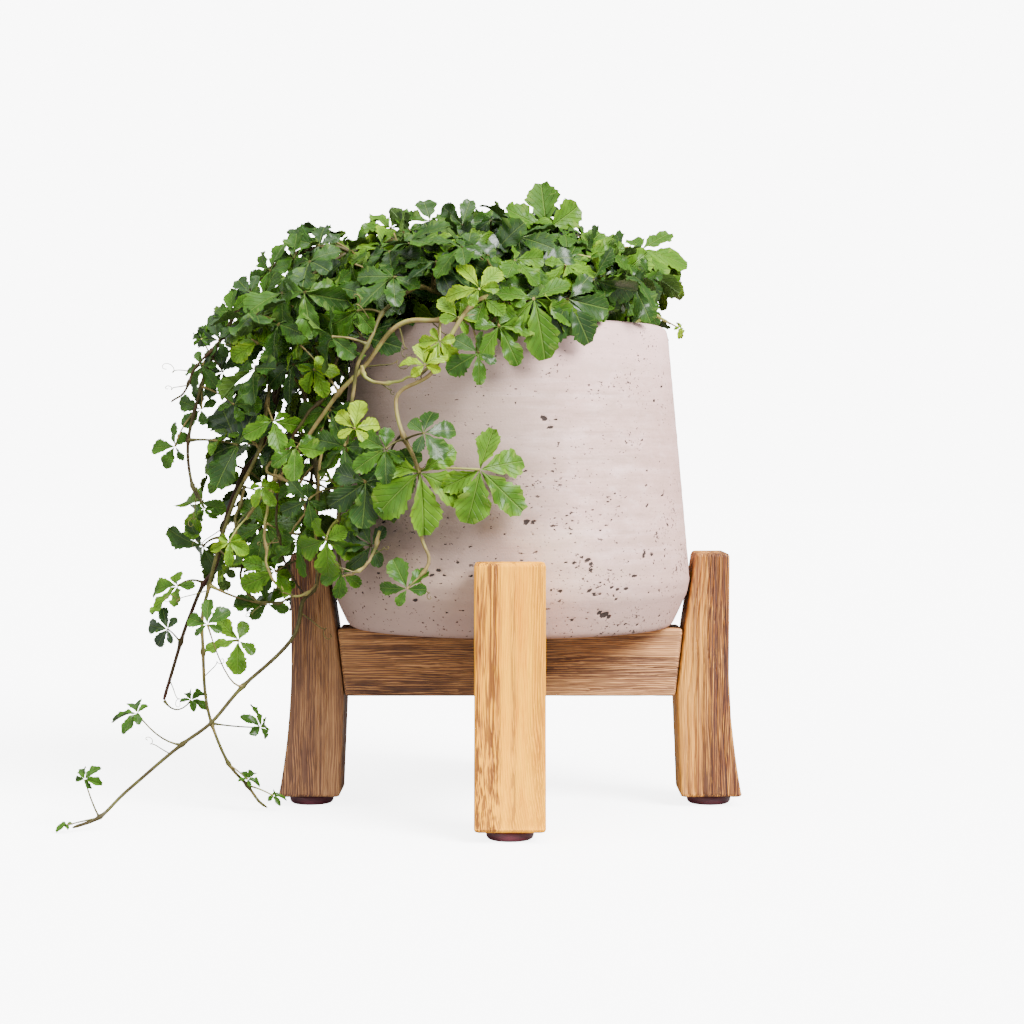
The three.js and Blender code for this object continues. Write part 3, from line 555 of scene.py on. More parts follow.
# Pot
concretePot = {
    "profile": [(0, 88.8), (40, 88.8), (78.5, 88.8), (81.5, 90.8), (89, 107), (90, 113), (84.7, 173.5),
                (79.3, 233), (78.2, 237.4), (74.3, 239), (70.5, 239), (69.3, 237.5), (70.8, 220),
                    (72.5, 200)],
    "rows": [3, 8, 4, 15, 7, 50, 50, 5, 4, 4, 3, 6, 4],
    "around": 500,
    "soften": 2,
    "pits": [  # degrees from the front towards the right, height, width, depth
        (13, 142, 0.7, 0.8), (17, 141, 0.6, 0.7), (31, 142, 0.8, 0.8), (33, 144, 0.7, 0.8),
        (42, 134, 0.5, 0.6), (46, 128, 0.9, 0.6), (24, 126, 1.0, 0.9), (22, 127, 0.7, 0.9),
        (17, 125, 0.6, 0.8), (20, 123, 0.7, 0.7), (14, 123, 0.6, 0.6), (39, 125, 0.8, 0.6),
        (41, 118, 1.0, 1.0), (28, 115, 0.7, 0.8), (32, 113, 0.8, 0.9), (34, 112, 0.7, 0.9),
        (15, 112, 0.7, 0.9), (26, 110, 0.9, 0.8), (33, 109, 0.7, 0.7), (53, 110, 0.7, 0.7),
        (31, 100, 1.5, 1.1), (29, 101, 0.9, 1.0), (33, 99, 0.8, 1.0), (23, 102, 0.8, 0.5),
        (25, 101, 0.6, 0.6), (20, 98, 0.7, 0.8), (25, 98, 0.6, 0.8), (47, 94, 0.7, 0.8),
        (13, 212, 0.7, 0.7), (2, 206, 0.8, 0.6), (0, 207, 0.6, 0.6), (19, 204, 0.6, 0.7),
        (11, 192, 1.0, 1.1), (13, 188, 0.9, 1.0), (21, 165, 0.6, 0.6), (35, 157, 0.7, 0.7),
        (49, 160, 0.7, 0.7), (32, 153, 0.9, 0.7), (49, 151, 0.8, 0.9), (5, 144, 1.0, 1.0),
        (7, 144, 0.9, 0.9), (65, 208, 0.9, 0.8), (-22, 121, 1.0, 0.9), (-24, 119, 0.7, 0.8),
        (-20, 119, 0.7, 0.8), (-30, 107, 0.9, 0.8), (-37, 112, 0.8, 0.8),
    ],
    "strayPits": 260,
}


def concreteMaterial():
    # Pale warm grey with streaks that run level round it from the mould. Shade is painted into the
    # colour: darker and browner towards the left where the plant shades the pot, a painted shadow of
    # the hanging leaves and the front leg low on the front left, painted shade towards the foot and,
    # warmer, at the far right, and painted light below the rim that lifts the leaves' shadow there.
    # Pits are the dents that the mesh carries, with ragged edges, and specks and spots where noise is
    # high, more of them low down and in clusters; their near-black is painted shade inside them.
    material, tree, surface = newMaterial("cast concrete", 0.86, 0.2)
    x, y, z = axes(stretched(tree, (1, 1, 1)))
    middle = potAxis[0]
    cloud = noise(tree, (14, 14, 30), 5, 0.6)
    bands = noise(tree, (9, 9, 210), 5, 0.65)
    streaks = noise(tree, (34, 34, 420), 4, 0.6, (0.4, 0.1, 0.2))
    grit = noise(tree, (900, 900, 900), 2, 0.6)
    mottle = noise(tree, (95, 95, 170), 5, 0.65, (0.1, 0.3, 0.6))
    # Painted shade: darker and browner towards the left, where the plant shades the pot.
    left = between(x, middle + 0.032, middle - 0.010, 0, 0.82)
    # Painted shadow of the hanging leaves and the front leg, low on the front left of the wall.
    paintedLeafShadow = times(between(z, 0.215, 0.148, 0, 0.72), between(z, 0.104, 0.122, 0.3, 1))
    base = ramp(cloud, [(0.28, (0.46, 0.29, 0.25)), (0.52, (0.60, 0.385, 0.345)),
        (0.75, (0.70, 0.49, 0.455))])
    for share, colour in (
        (between(bands, 0.46, 0.66, 0, 0.5), (0.42, 0.285, 0.235)),
        (between(bands, 0.46, 0.32, 0, 0.4), (0.76, 0.56, 0.54)),
        (between(streaks, 0.52, 0.7, 0, 0.55), (0.38, 0.25, 0.21)),
        (between(grit, 0.35, 0.65, 0, 0.2), (0.30, 0.22, 0.19)),
        (between(mottle, 0.5, 0.68, 0, 0.4), (0.36, 0.24, 0.19)),
        (between(mottle, 0.46, 0.32, 0, 0.3), (0.80, 0.60, 0.58)),
        # painted shade at the left
        (left, (0.36, 0.265, 0.215)),
        # painted shadow under the hanging leaves and the front leg
        (times(paintedLeafShadow, between(x, middle + 0.030, middle - 0.006)), (0.17, 0.12, 0.095)),
        (times(between(cloud, 0.5, 0.6), between(z, 0.165, 0.12, 0, 0.4)), (0.56, 0.40, 0.27)),
        # painted shade towards the foot, where the wall turns under
        (between(z, 0.14, 0.092, 0, 0.9), (0.36, 0.235, 0.195)),
        # painted shade at the far right, warmer too
        (between(x, middle + 0.050, middle + 0.080, 0, 0.4), (0.50, 0.29, 0.25)),
        # painted light below the rim, lifting the leaves' shadow there
        (times(between(z, 0.200, 0.232, 0, 0.6), minus(1.0, left)), (0.86, 0.57, 0.54)),
    ):
        base = mixColour(share, base, colour)
    specks = noise(tree, (520, 520, 820), 2, 0.6)
    clusters = noise(tree, (38, 38, 60), 2, 0.5)
    ragged = plus(times(toneOf(tree), 1.12), times(minus(specks, 0.5), 1.1))
    chance = plus(specks, between(clusters, 0.48, 0.66, 0, 0.07))
    chance = plus(chance, between(z, 0.19, 0.13, 0, 0.03))
    spots = noise(tree, (230, 230, 350), 3, 0.6, (0.2, 0.5, 0.1))
    spots = plus(spots, between(clusters, 0.46, 0.66, 0, 0.05))
    spots = plus(spots, between(z, 0.19, 0.12, 0, 0.045))
    pits = most(between(ragged, 0.46, 0.58), between(chance, 0.71, 0.735))
    pits = most(pits, between(spots, 0.73, 0.76, 0, 0.85))
    # the near-black in the pits, specks and spots is painted shade inside them
    feed(surface, "Base Color", mixColour(times(pits, 0.96), base, (0.014, 0.010, 0.008)))
    height = plus(plus(times(pits, -1.2), times(grit, 0.25)), times(bands, 0.35))
    bump(surface, height, 0.0008, 0.7)
    return material


def makePot():
    # The profile turned round the axis. Each pit pulls the wall in by
    # depth * exp(-(distance / width)^4), and low waves run round it from the mould.
    look = concretePot
    keys = np.array(look["profile"], float)
    marks = [np.linspace(i, i + 1, n, endpoint=False) for i, n in enumerate(look["rows"])]
    marks = np.concatenate(marks + [[len(keys) - 1]])
    profile = np.stack([np.interp(marks, np.arange(len(keys)), keys[:, i]) for i in (0, 1)], -1)
    for _ in range(look["soften"]):
        profile[1:-1] = (profile[:-2] + 2 * profile[1:-1] + profile[2:]) / 4
    around = look["around"]
    angle = ringAngles(around)
    radius = np.repeat(profile[:, :1], around, 1)
    height = np.repeat(profile[:, 1:], around, 1)
    random = np.random.default_rng(7)
    count = look["strayPits"]
    stray = np.stack([
        random.uniform(-180, 180, count),
        95 + 138 * random.beta(1.1, 2.0, count),
        random.uniform(0.5, 1.0, count),
        random.uniform(0.4, 0.9, count),
    ], -1)
    turn = np.degrees(angle) + 90  # degrees from the front, towards +X
    outside = (np.arange(len(profile)) > 11) & (profile[:, 0] > 74)
    depth = np.zeros_like(radius)
    for degrees, level, width, deep in np.concatenate([np.array(look["pits"], float), stray]):
        aside = (turn - degrees + 180) % 360 - 180
        swirl = 0.25 * np.sin(aside * 1.7 + level)
        flat = ((np.radians(aside)[None] * radius) / (width * 1.9)) ** 2
        flat += ((height - level - swirl[None] * width) / width) ** 2
        depth = np.maximum(depth, 0.6 * deep * np.exp(-(flat**2)))
    depth *= outside[:, None]
    level = 0.07 * waves(height / 9 + np.sin(angle)[None] * 0.25, 5, 4, 0.4, 1.6) * outside[:, None]
    points = turned(radius - depth + level, height, angle).reshape(-1, 3)
    part = {
        "points": np.concatenate([points, [[0, 0, 88.8], [0, 0, 200.0]]]),
        "faces": closedFaces(len(profile), around, 1),
        "tone": np.concatenate([np.clip(depth / 0.6, 0, 1).ravel(), [0, 0]]),
    }
    makePiece("pot_concrete", [part], [concreteMaterial()], ["pot"], 80)


makePot()
print("pot done")

# Soil
soil = {"top": 224.0, "crown": 4.0, "radius": 69.4, "bottom": 205.0, "chips": 170}


def makeSoil():
    # A disc whose height is the crown's curve plus lumps of three sizes, closed by a skirt and
    # a flat underside, with small chips of bark and grit scattered over it.
    material, tree, surface = newMaterial("potting soil", 0.95, 0.2)
    lumps = noise(tree, (260, 260, 260), 6, 0.65)
    base = ramp(lumps, [(0.3, (0.012, 0.008, 0.006)), (0.55, (0.045, 0.028, 0.018)),
        (0.75, (0.11, 0.07, 0.045))])
    feed(surface, "Base Color", mixColour(between(toneOf(tree), 0.5, 1.0, 0, 0.9), base, (0.20, 0.12,
        0.07)))
    bump(surface, lumps, 0.0015, 0.9)
    rows, around = 40, 120
    reach = np.linspace(0.02, 1, rows) * soil["radius"]
    angle = ringAngles(around)
    x, y = reach[:, None] * np.cos(angle), reach[:, None] * np.sin(angle)
    z = soil["top"] + soil["crown"] * (1 - (reach[:, None] / soil["radius"]) ** 2)
    z = z + 0.9 * waves(x / 14, 3, 4, 0.4, 1.6) * waves(y / 14, 4, 4, 0.4, 1.6)
    z = z + 0.5 * waves((x + y) / 4, 5, 4, 0.4, 1.4) * waves((x - y) / 4, 6, 4, 0.4, 1.4)
    skirt = np.stack([x[-1], y[-1], np.full(around, soil["bottom"])], -1)
    stack = np.concatenate([np.stack([x, y, z], -1), [skirt]])
    points = np.concatenate([stack.reshape(-1, 3), [[0, 0, z[0].mean()], [0, 0, soil["bottom"]]]])
    ground = {"points": points, "faces": closedFaces(rows + 1, around), "tone": 0.0}
    random = np.random.default_rng(17)
    count = soil["chips"]
    spread = soil["radius"] * 0.95 * np.sqrt(random.random(count))
    way = random.uniform(0, 2 * np.pi, count)
    level = soil["top"] + soil["crown"] * (1 - (spread / soil["radius"]) ** 2) + 0.6
    middle = np.stack([spread * np.cos(way), spread * np.sin(way), level], -1)
    lean = unit(random.normal(size=(count, 3)) * (1, 1, 0.35))
    length = random.uniform(1.2, 4.2, count)
    steps = np.linspace(-0.5, 0.5, 4)
    paths = middle[:, None] + lean[:, None] * (length[:, None] * steps)[..., None]
    thick = random.uniform(0.5, 1.1, count)[:, None] * np.array([0.55, 1, 0.9, 0.45])
    scattered = sweepTubes(paths, thick, 5, tone=random.uniform(0.5, 1, count))
    makePiece("soil_crumbs", [ground, scattered], [material], ["soil"])


makeSoil()
print("soil done")

# Vines, in the order that they grow round the pot. root is where the stem leaves the soil and
# route is its line. A leaf row is hub x, y, z, the way its middle leaflet points as seen from
# the front, swing and tilt of its face, size, rise of its stalk, and tone from dark to yellow.
# drawn holds rows of leaves that the solid has not. fill and extra place leaves by rule: from,
# to, spacing, then size and seed. A tendril is its share along the stem, degrees and length.
usualVine = {"radius": 1.1, "green": 0.6, "swell": 1}
vines = {
    "trail_long": {
        "root": (-34, -24), "radius": 1.3, "green": 0.42,
        "route": [(-40, -30, 248), (-58, -40, 260), (-84, -45, 251), (-98, -46, 222), (-97, -48, 190),
            (-92, -50, 161), (-93, -50, 139), (-93, -48, 113), (-99, -50, 105), (-104, -54, 87),
            (-127, -58, 65), (-141, -62, 49), (-155, -66, 38), (-179, -73, 18), (-191, -80, 6),
            (-203, -84, 2)],
        "leaves": [(-143, -66, 95, 100, -10, 20, 13, -18, 0.35), (-175, -72, 54, 170, 0, 50, 12, -6, 0.35),
            (-198, -80, 24, 60, 0, 30, 9, -3, 0.3), (-205, -86, 4, 150, 0, 75, 6, 0, 0.5),
            (-117, -50, 142, -100, -10, 20, 22, -8, 0.4)],
        "fill": (60, 190, 26, 19, 11), "extra": (24, 120, 14),
        "tendrils": [(0.42, -140, 18), (0.63, -60, 22), (0.86, 120, 16)],
    },
    "trail_brown": {
        "root": (-48, -4), "radius": 1.4, "green": 0.1,
        "route": [(-53, -4, 250), (-82, -8, 261), (-104, -18, 240), (-114, -28, 212), (-117, -32, 194),
            (-122, -32, 177), (-131, -31, 165), (-139, -30, 144), (-144, -29, 121), (-150, -28, 112),
            (-156, -27, 98), (-162, -26, 83), (-170, -25, 54)],
        "leaves": [(-156, -30, 55, 60, 10, 50, 10, -8, 0.4), (-167, -34, 90, 170, -15, 10, 12, 2, 0.1)],
        "fill": (70, 175, 27, 17, 23), "extra": (24, 150, 14),
        "tendrils": [(0.7, 190, 20), (0.97, -90, 16)],
    },
    "trail_green": {
        "root": (-42, -14), "radius": 1.2,
        "route": [(-52, -18, 252), (-80, -30, 264), (-104, -42, 244), (-114, -50, 212), (-119, -50, 182),
            (-125, -48, 168), (-132, -47, 155), (-139, -46, 134), (-145, -44, 112), (-149, -42, 97),
            (-149, -40, 79), (-148, -37, 60), (-145, -34, 44), (-138, -31, 24), (-129, -29, 13),
            (-123, -28, 5), (-119, -27, 2)],
        "leaves": [(-121, -40, 43, 60, 60, 20, 12, 0, 0.3), (-130, -52, 86, -160, 0, 15, 17, 3, 0.6),
            (-117, -46, 103, 100, 5, 10, 18, -3, 0.45), (-128, -34, 17, 60, 10, 40, 7, 1, 0.4),
            (-116, -28, 8, 10, 10, 60, 6, 1, 0.45)],
        "fill": (60, 190, 30, 18, 31), "extra": (24, 150, 14),
        "tendrils": [(0.5, 30, 20), (0.68, 170, 24), (0.8, 20, 16)],
    },
    "rim_runner": {
        "root": (34, -36), "radius": 1.3, "green": 0.85, "swell": 1.15,
        "route": [(36, -46, 242), (28, -60, 248), (12, -68, 247), (6, -77, 244), (-6, -86, 238),
            (-32, -88, 237), (-50, -84, 236), (-69, -76, 216), (-89, -68, 193), (-100, -64, 176),
            (-114, -61, 160), (-125, -58, 145)],
        "leaves": [(-132, -70, 134, -90, -5, 15, 10, 2, 0.75), (-117, -70, 160, -60, 0, 30, 10, 2, 0.7),
            (-39, -100, 215, 100, 5, 20, 13, -14, 0.95), (-5, -94, 234, -60, 15, 15, 19, 3, 0.5),
            (27, -72, 249, -80, 20, 15, 23, 4, 0.3), (-14, -98, 221, -150, -10, 10, 16, 2, 0.35)],
        "fill": (190, 250, 30, 14, 43), "extra": (40, 80, 15),
        "drawn": [(11, -90, 247, -82, 5, 5, 25, 3, 0.5), (27, -86, 247, -64, 15, 12, 23, 3, 0.2),
            (-24, -94, 238, 65, 10, 10, 15, 2, 0.72), (-32, -100, 227, -115, 0, 10, 12, 2, 0.8),
            (-2, -88, 247, -140, -10, 25, 17, 2, 0.5)],
        "tendrils": [(0.5, -70, 16), (0.66, -20, 26), (0.97, 200, 22), (0.36, 70, 14), (0.38, 130, 12),
            (0.4, 20, 11), (0.35, 100, 9), (0.56, -100, 18)],
    },
    "front_drop": {
        "root": (6, -44), "radius": 1.2, "green": 0.85,
        "route": [(4, -56, 243), (-6, -76, 250), (-18, -92, 243), (-28, -95, 228), (-36, -94, 213),
            (-50, -94, 204), (-52, -95, 196), (-48, -97, 182), (-42, -98, 168), (-39, -98, 152),
            (-41, -97, 138), (-37, -97, 128), (-39, -97, 121), (-45, -97, 115)],
        "leaves": [(-41, -104, 167, -82, 5, 5, 27, 3, 0.6), (-14, -101, 168, -42, 8, 5, 26, 0, 0.55),
            (-14, -98, 251, 120, 0, 20, 16, 2, 0.75), (-39, -108, 185, 20, 0, 30, 16, 2, 0.2),
            (-47, -100, 114, 120, -10, 10, 15, 0, 0.4), (-56, -102, 177, -150, -10, 15, 17, 2, 0.35)],
        "fill": (36, 60, 22, 15, 57), "fillTone": 0.5,
        "tendrils": [(0.98, -80, 12)],
    },
    "left_front": {
        "root": (-20, -40),
        "route": [(-26, -50, 246), (-42, -66, 254), (-58, -80, 242), (-68, -87, 222), (-73, -86, 203),
            (-76, -84, 179), (-79, -79, 154), (-81, -74, 133), (-79, -70, 111)],
        "leaves": [(-76, -92, 179, -140, -20, 10, 19, 2, 0.3), (-71, -98, 187, 80, 0, 20, 14, 3, 1.0),
            (-66, -95, 162, -90, 0, 10, 21, 2, 0.15), (-64, -88, 133, 175, -5, 0, 18, 2, 0.15),
            (-78, -80, 120, -90, 0, 0, 12, 2, 0.35)],
        "fill": (40, 80, 24, 17, 61), "extra": (24, 60, 14),
        "tendrils": [(0.45, 100, 20)],
    },
    "glossy_left": {
        "root": (-28, -8), "radius": 1.2, "green": 0.3,
        "route": [(-36, -20, 252), (-50, -40, 264), (-64, -56, 256), (-76, -62, 236), (-85, -60, 212),
            (-90, -57, 196)],
        "leaves": [(-70, -70, 231, 95, -15, 35, 28, 3, 0.1), (-58, -60, 253, 60, -5, 40, 20, 3, 0.08),
            (-92, -74, 215, -60, -10, 10, 13, 2, 0.68), (-85, -66, 196, -120, -20, 15, 20, 2, 0.35)],
        "fill": (40, 75, 26, 18, 73), "extra": (24, 110, 13),
        "tendrils": [(0.98, -60, 18)],
    },
    "far_left": {
        "root": (-50, -20), "radius": 1.2, "green": 0.35,
        "route": [(-60, -15, 258), (-88, -20, 278), (-118, -30, 265), (-138, -36, 236), (-150, -38, 208),
            (-156, -38, 182), (-154, -38, 160), (-149, -40, 151)],
        "leaves": [(-120, -50, 227, 100, -15, 25, 21, 4, 0.65), (-139, -42, 215, 170, -20, 10, 15, 2, 0.2),
            (-149, -44, 231, 100, -30, 20, 9, 4, 0.4), (-163, -36, 179, 175, -20, 5, 14, 2, 0.35),
            (-128, -46, 178, 130, -15, 10, 29, 2, 0.12), (-150, -38, 197, 160, -15, 10, 14, 2, 0.3),
            (-130, -42, 199, 60, -10, 0, 15, 2, 0.4), (-148, -42, 149, -120, -20, 0, 8, 0, 0.4)],
        "fill": (40, 90, 27, 17, 83), "extra": (24, 130, 14),
        "drawn": [(-93, -34, 277, 150, -10, 35, 17, 3, 0.12), (-105, -40, 270, 100, -20, 25, 15, 3, 0.3),
            (-116, -42, 264, 135, -25, 20, 16, 3, 0.35), (-125, -46, 253, -170, -20, 20, 16, 3, 0.2),
            (-134, -48, 243, 110, -25, 10, 13, 3, 0.4), (-140, -48, 230, 170, -20, 10, 15, 2, 0.15),
            (-148, -48, 218, -120, -20, 10, 13, 2, 0.35)],
        "tendrils": [(0.72, 150, 24), (0.97, -120, 18)],
    },
    "top_left": {
        "root": (-26, 16), "radius": 1.2, "green": 0.5,
        "route": [(-34, 14, 254), (-56, 6, 274), (-78, -2, 277), (-98, -10, 265), (-114, -16, 248)],
        "leaves": [(-91, -10, 281, 175, -20, 60, 20, 4, 0.08), (-122, -22, 251, 80, -20, 20, 17, 3, 0.35),
            (-103, -30, 255, -100, -20, 30, 18, 3, 0.4)],
        "fill": (30, 95, 24, 19, 97), "extra": (30, 110, 13),
    },
    "top_a": {
        "root": (-12, -4),
        "route": [(-16, -6, 254), (-28, -12, 274), (-42, -16, 281), (-56, -16, 280)],
        "leaves": [(-63, -30, 277, -160, -10, 50, 21, 3, 0.6), (-40, -8, 292, 160, 0, 50, 19, 4, 0.3),
            (-60, -4, 289, 120, -10, 50, 16, 3, 0.5)],
        "fill": (30, 60, 22, 19, 101), "extra": (26, 70, 13),
    },
    "top_b": {
        "root": (4, -12),
        "route": [(2, -14, 252), (-6, -18, 270), (-14, -16, 282), (-20, -10, 287)],
        "leaves": [(-24, -6, 290, 80, 0, 20, 16, 3, 0.2)],
        "fill": (26, 60, 20, 19, 113), "extra": (26, 70, 13),
    },
    "top_c": {
        "root": (18, -16), "green": 0.8,
        "route": [(18, -20, 248), (12, -27, 262), (2, -31, 269)],
        "leaves": [(18, -30, 285, 95, 20, 0, 24, 4, 0.48)],
        "fill": (24, 50, 18, 19, 127), "extra": (24, 50, 13),
    },
    "top_d": {
        "root": (16, 8),
        "route": [(17, 8, 252), (14, 6, 274), (8, 4, 287)],
        "leaves": [(5, 0, 293, 165, 0, 60, 21, 3, 0.4)],
        "fill": (28, 66, 20, 20, 131), "extra": (26, 70, 13),
    },
    "right_a": {
        "root": (48, -18), "green": 0.7,
        "route": [(52, -18, 244), (53, -17, 262), (50, -15, 276)],
        "leaves": [(47, -16, 280, 170, 0, 60, 20, 3, 0.62), (66, 0, 278, -12, 10, 60, 24, 4, 0.5),
            (48, -36, 258, 35, 10, 10, 26, 3, 0.6)],
        "fill": (26, 50, 20, 18, 149), "extra": (26, 60, 14),
    },
    "right_b": {
        "root": (54, 0),
        "route": [(58, -2, 242), (60, -3, 254), (58, 2, 264)],
        "leaves": [(60, -12, 259, -30, 20, 30, 17, 2, 0.4), (66, 8, 250, -45, 30, 20, 14, 2, 0.35)],
    },
    "rim_tip": {
        "root": (60, -16), "green": 0.9,
        "route": [(65, -16, 242), (72, -15, 244), (79, -14, 240)],
        "leaves": [(84, -14, 238, -30, 40, 30, 6, 0, 0.9)],
    },
    "front_mid": {
        "root": (20, -32), "green": 0.7,
        "route": [(20, -40, 246), (18, -50, 258), (8, -54, 262), (-4, -56, 262)],
        "leaves": [(12, -64, 266, -40, 0, 45, 20, 3, 0.25), (28, -52, 268, 20, 10, 30, 20, 3, 0.25),
            (-6, -66, 258, -130, -10, 35, 18, 2, 0.45)],
        "fill": (30, 60, 20, 18, 151), "extra": (26, 60, 13),
    },
    "centre_low": {
        "root": (-6, -28),
        "route": [(-10, -34, 244), (-20, -42, 256), (-30, -46, 258)],
        "leaves": [(-28, -50, 265, -60, 0, 30, 19, 3, 0.12), (-44, -56, 258, 150, -10, 40, 17, 2, 0.3)],
        "extra": (24, 50, 13),
    },
    "left_mid": {
        "root": (-54, 12), "radius": 1.2, "green": 0.4,
        "route": [(-66, 13, 250), (-92, 16, 250), (-112, 18, 226), (-122, 18, 192), (-126, 18, 152),
            (-130, 16, 116)],
        "fill": (34, 235, 37, 21, 163), "extra": (30, 230, 18),
    },
    "back_left_a": {
        "root": (-42, 26), "radius": 1.2, "green": 0.5,
        "route": [(-54, 32, 252), (-76, 42, 256), (-94, 50, 236), (-101, 54, 205), (-105, 56, 165),
            (-108, 58, 125), (-112, 60, 92)],
        "fill": (36, 270, 41, 22, 173), "extra": (30, 250, 18),
    },
    "back_left_b": {
        "root": (-24, 38), "radius": 1.2, "green": 0.5,
        "route": [(-34, 50, 250), (-50, 68, 255), (-62, 82, 240), (-70, 90, 208), (-74, 94, 170),
            (-76, 96, 134)],
        "fill": (36, 230, 40, 22, 181), "extra": (30, 210, 18),
    },
    "back_a": {
        "root": (-2, 46),
        "route": [(-6, 56, 248), (-10, 74, 254), (-14, 89, 240), (-16, 96, 210), (-18, 99, 178)],
        "fill": (34, 160, 34, 22, 191), "extra": (28, 150, 17),
    },
    "back_b": {
        "root": (24, 38),
        "route": [(28, 50, 248), (34, 66, 254), (42, 80, 240), (46, 87, 214), (48, 91, 192)],
        "fill": (34, 140, 34, 21, 193), "extra": (28, 130, 17),
    },
    "back_right": {
        "root": (44, 18),
        "route": [(47, 31, 246), (52, 46, 250), (57, 62, 246), (58, 75, 228)],
        "fill": (32, 90, 24, 18, 197),
    },
    "top_back": {
        "root": (24, 24),
        "route": [(27, 28, 250), (32, 35, 264), (30, 46, 271)],
        "fill": (26, 64, 17, 20, 211), "extra": (26, 60, 13),
    },
    "top_right": {
        "root": (38, 4),
        "route": [(41, 6, 250), (42, 12, 264), (38, 20, 272)],
        "fill": (26, 60, 18, 19, 223), "extra": (26, 60, 13),
    },
    "crown_a": {
        "root": (-2, 24),
        "route": [(-3, 27, 252), (-6, 34, 270), (-10, 40, 282)],
        "fill": (32, 74, 10, 22, 229), "extra": (26, 70, 13),
    },
    "crown_b": {
        "root": (-14, 10),
        "route": [(-17, 12, 254), (-26, 18, 274), (-36, 24, 286)],
        "fill": (42, 84, 9, 20, 233), "extra": (26, 80, 13),
    },
    "crown_c": {
        "root": (-10, 36),
        "route": [(-16, 42, 252), (-28, 52, 268), (-36, 58, 276)],
        "fill": (36, 84, 9, 20, 239), "extra": (26, 80, 13),
    },
    "crown_d": {
        "root": (10, 34),
        "route": [(13, 42, 252), (18, 54, 268), (22, 64, 276)],
        "fill": (36, 84, 9, 20, 241), "extra": (26, 80, 13),
    },
    "crown_e": {
        "root": (-36, 8),
        "route": [(-40, 12, 252), (-56, 24, 270), (-70, 34, 276)],
        "fill": (40, 90, 10, 20, 251), "extra": (26, 90, 13),
    },
}

# A leaf: five leaflets about a hub, each with a wedge-shaped base and a toothed outer half.
# rows are shares of a leaflet's length, half is its half width there, teeth and all.
leafShape = {
    "angles": (-112, -54, 0, 54, 112),
    "lengths": (0.72, 0.93, 1, 0.93, 0.72),
    "youngAngles": (-122, -62, 0, 62, 122),
    "youngLengths": (0.58, 0.9, 1, 0.9, 0.58),
    "youngBelow": 19.6,
    "rows": (0.16, 0.31, 0.40, 0.435, 0.52, 0.56, 0.63, 0.67, 0.74, 0.78, 0.85, 0.885, 0.955),
    "half": (0.048, 0.125, 0.19, 0.18, 0.25, 0.236, 0.28, 0.25, 0.266, 0.222, 0.212, 0.158, 0.1),
    "across": (-1, -0.5, 0, 0.5, 1),
    "fold": 0.23,
    "droop": 0.22,
    "thickness": 0.45,
}
stalk = {"radius": 0.62, "tip": 0.42, "bud": 0.75, "steps": 8, "sides": 6}
stem = {"step": 22, "fine": 2.6, "sides": 8, "node": 0.55, "rise": (211.3, 230, 237)}
# Ways that a leaf may turn aside: swing, tilt and lift.
turns = ((0, 0, 0), (0, 0, 3), (14, 0, 2), (-14, 0, 2), (0, 14, 3), (0, -14, 3), (20, 10, 5), (-20, 10, 5),
         (0, 0, 7), (25, -12, 7), (-25, -12, 7), (0, 25, 9), (35, 0, 9), (-35, 0, 9), (0, 0, 12),
         (30, 30, 12), (-30, 30, 12), (0, -35, 12))
up = np.array([0, 0, 1.0])


def throughPoints(points, counts):
    # A smooth line through points. On the span from b to c, with a before and d after them:
    # p = b + s u + (3 (c - b) - 2 s - t) u^2 + (2 (b - c) + s + t) u^3, s = (c - a) / 2, t = (d - b) / 2.
    ends = np.concatenate([[2 * points[0] - points[1]], points, [2 * points[-1] - points[-2]]])
    line = [points[:1]]
    for i, count in enumerate(counts):
        a, b, c, d = ends[i : i + 4]
        s, t = (c - a) / 2, (d - b) / 2
        u = (np.arange(count) + 1)[:, None] / count
        line.append(b + s * u + (3 * (c - b) - 2 * s - t) * u**2 + (2 * (b - c) + s + t) * u**3)
    return np.concatenate(line)


def stemLines(vine):
    # The coarse line that the CAD solid follows and a fine one: both rise out of the soil first.
    x, y = vine["root"]
    points = np.array([(x, y, z) for z in stem["rise"]] + list(vine["route"]), float)
    spans = np.linalg.norm(np.diff(points, axis=0), axis=1)
    coarse = np.ceil(spans / stem["step"]).astype(int)
    coarse[:2] = 1
    fine = np.ceil(spans / stem["fine"]).astype(int)
    return throughPoints(points, coarse), throughPoints(points, fine)


def alongLine(line):
    return np.concatenate([[0], np.cumsum(np.linalg.norm(np.diff(line, axis=0), axis=1))])


def draws(seed):
    # Repeatable numbers from 0 to 1: each state is the last times 16807, modulo 2^31 - 1.
    state = seed * 7919 + 13
    while True:
        state = state * 16807 % 2147483647
        yield state / 2147483647


def levelled(direction, facing):
    return unit(direction - (direction @ facing) * facing)


def handLeaf(line, row, turn):
    # A leaf from its row: it faces (sin s cos t, -cos s cos t, sin t) for swing s and tilt t.
    *place, aim, swing, tilt, size, bow, tone = row
    place = np.array(place, float)
    s, t, a = np.radians([swing + turn[0], tilt + turn[1], aim])
    facing = np.array([math.sin(s) * math.cos(t), -math.cos(s) * math.cos(t), math.sin(t)])
    pointing = levelled(np.array([math.cos(a), 0, math.sin(a)]), facing)
    distance = np.linalg.norm(line - place, axis=1)
    start = int(distance.argmin())
    while start > 3 and distance[start] < 9:
        start -= 1
    return {"start": line[start], "hub": place + facing * turn[2], "facing": facing,
            "pointing": pointing, "size": size, "bow": bow, "tone": tone, "fine": 0}


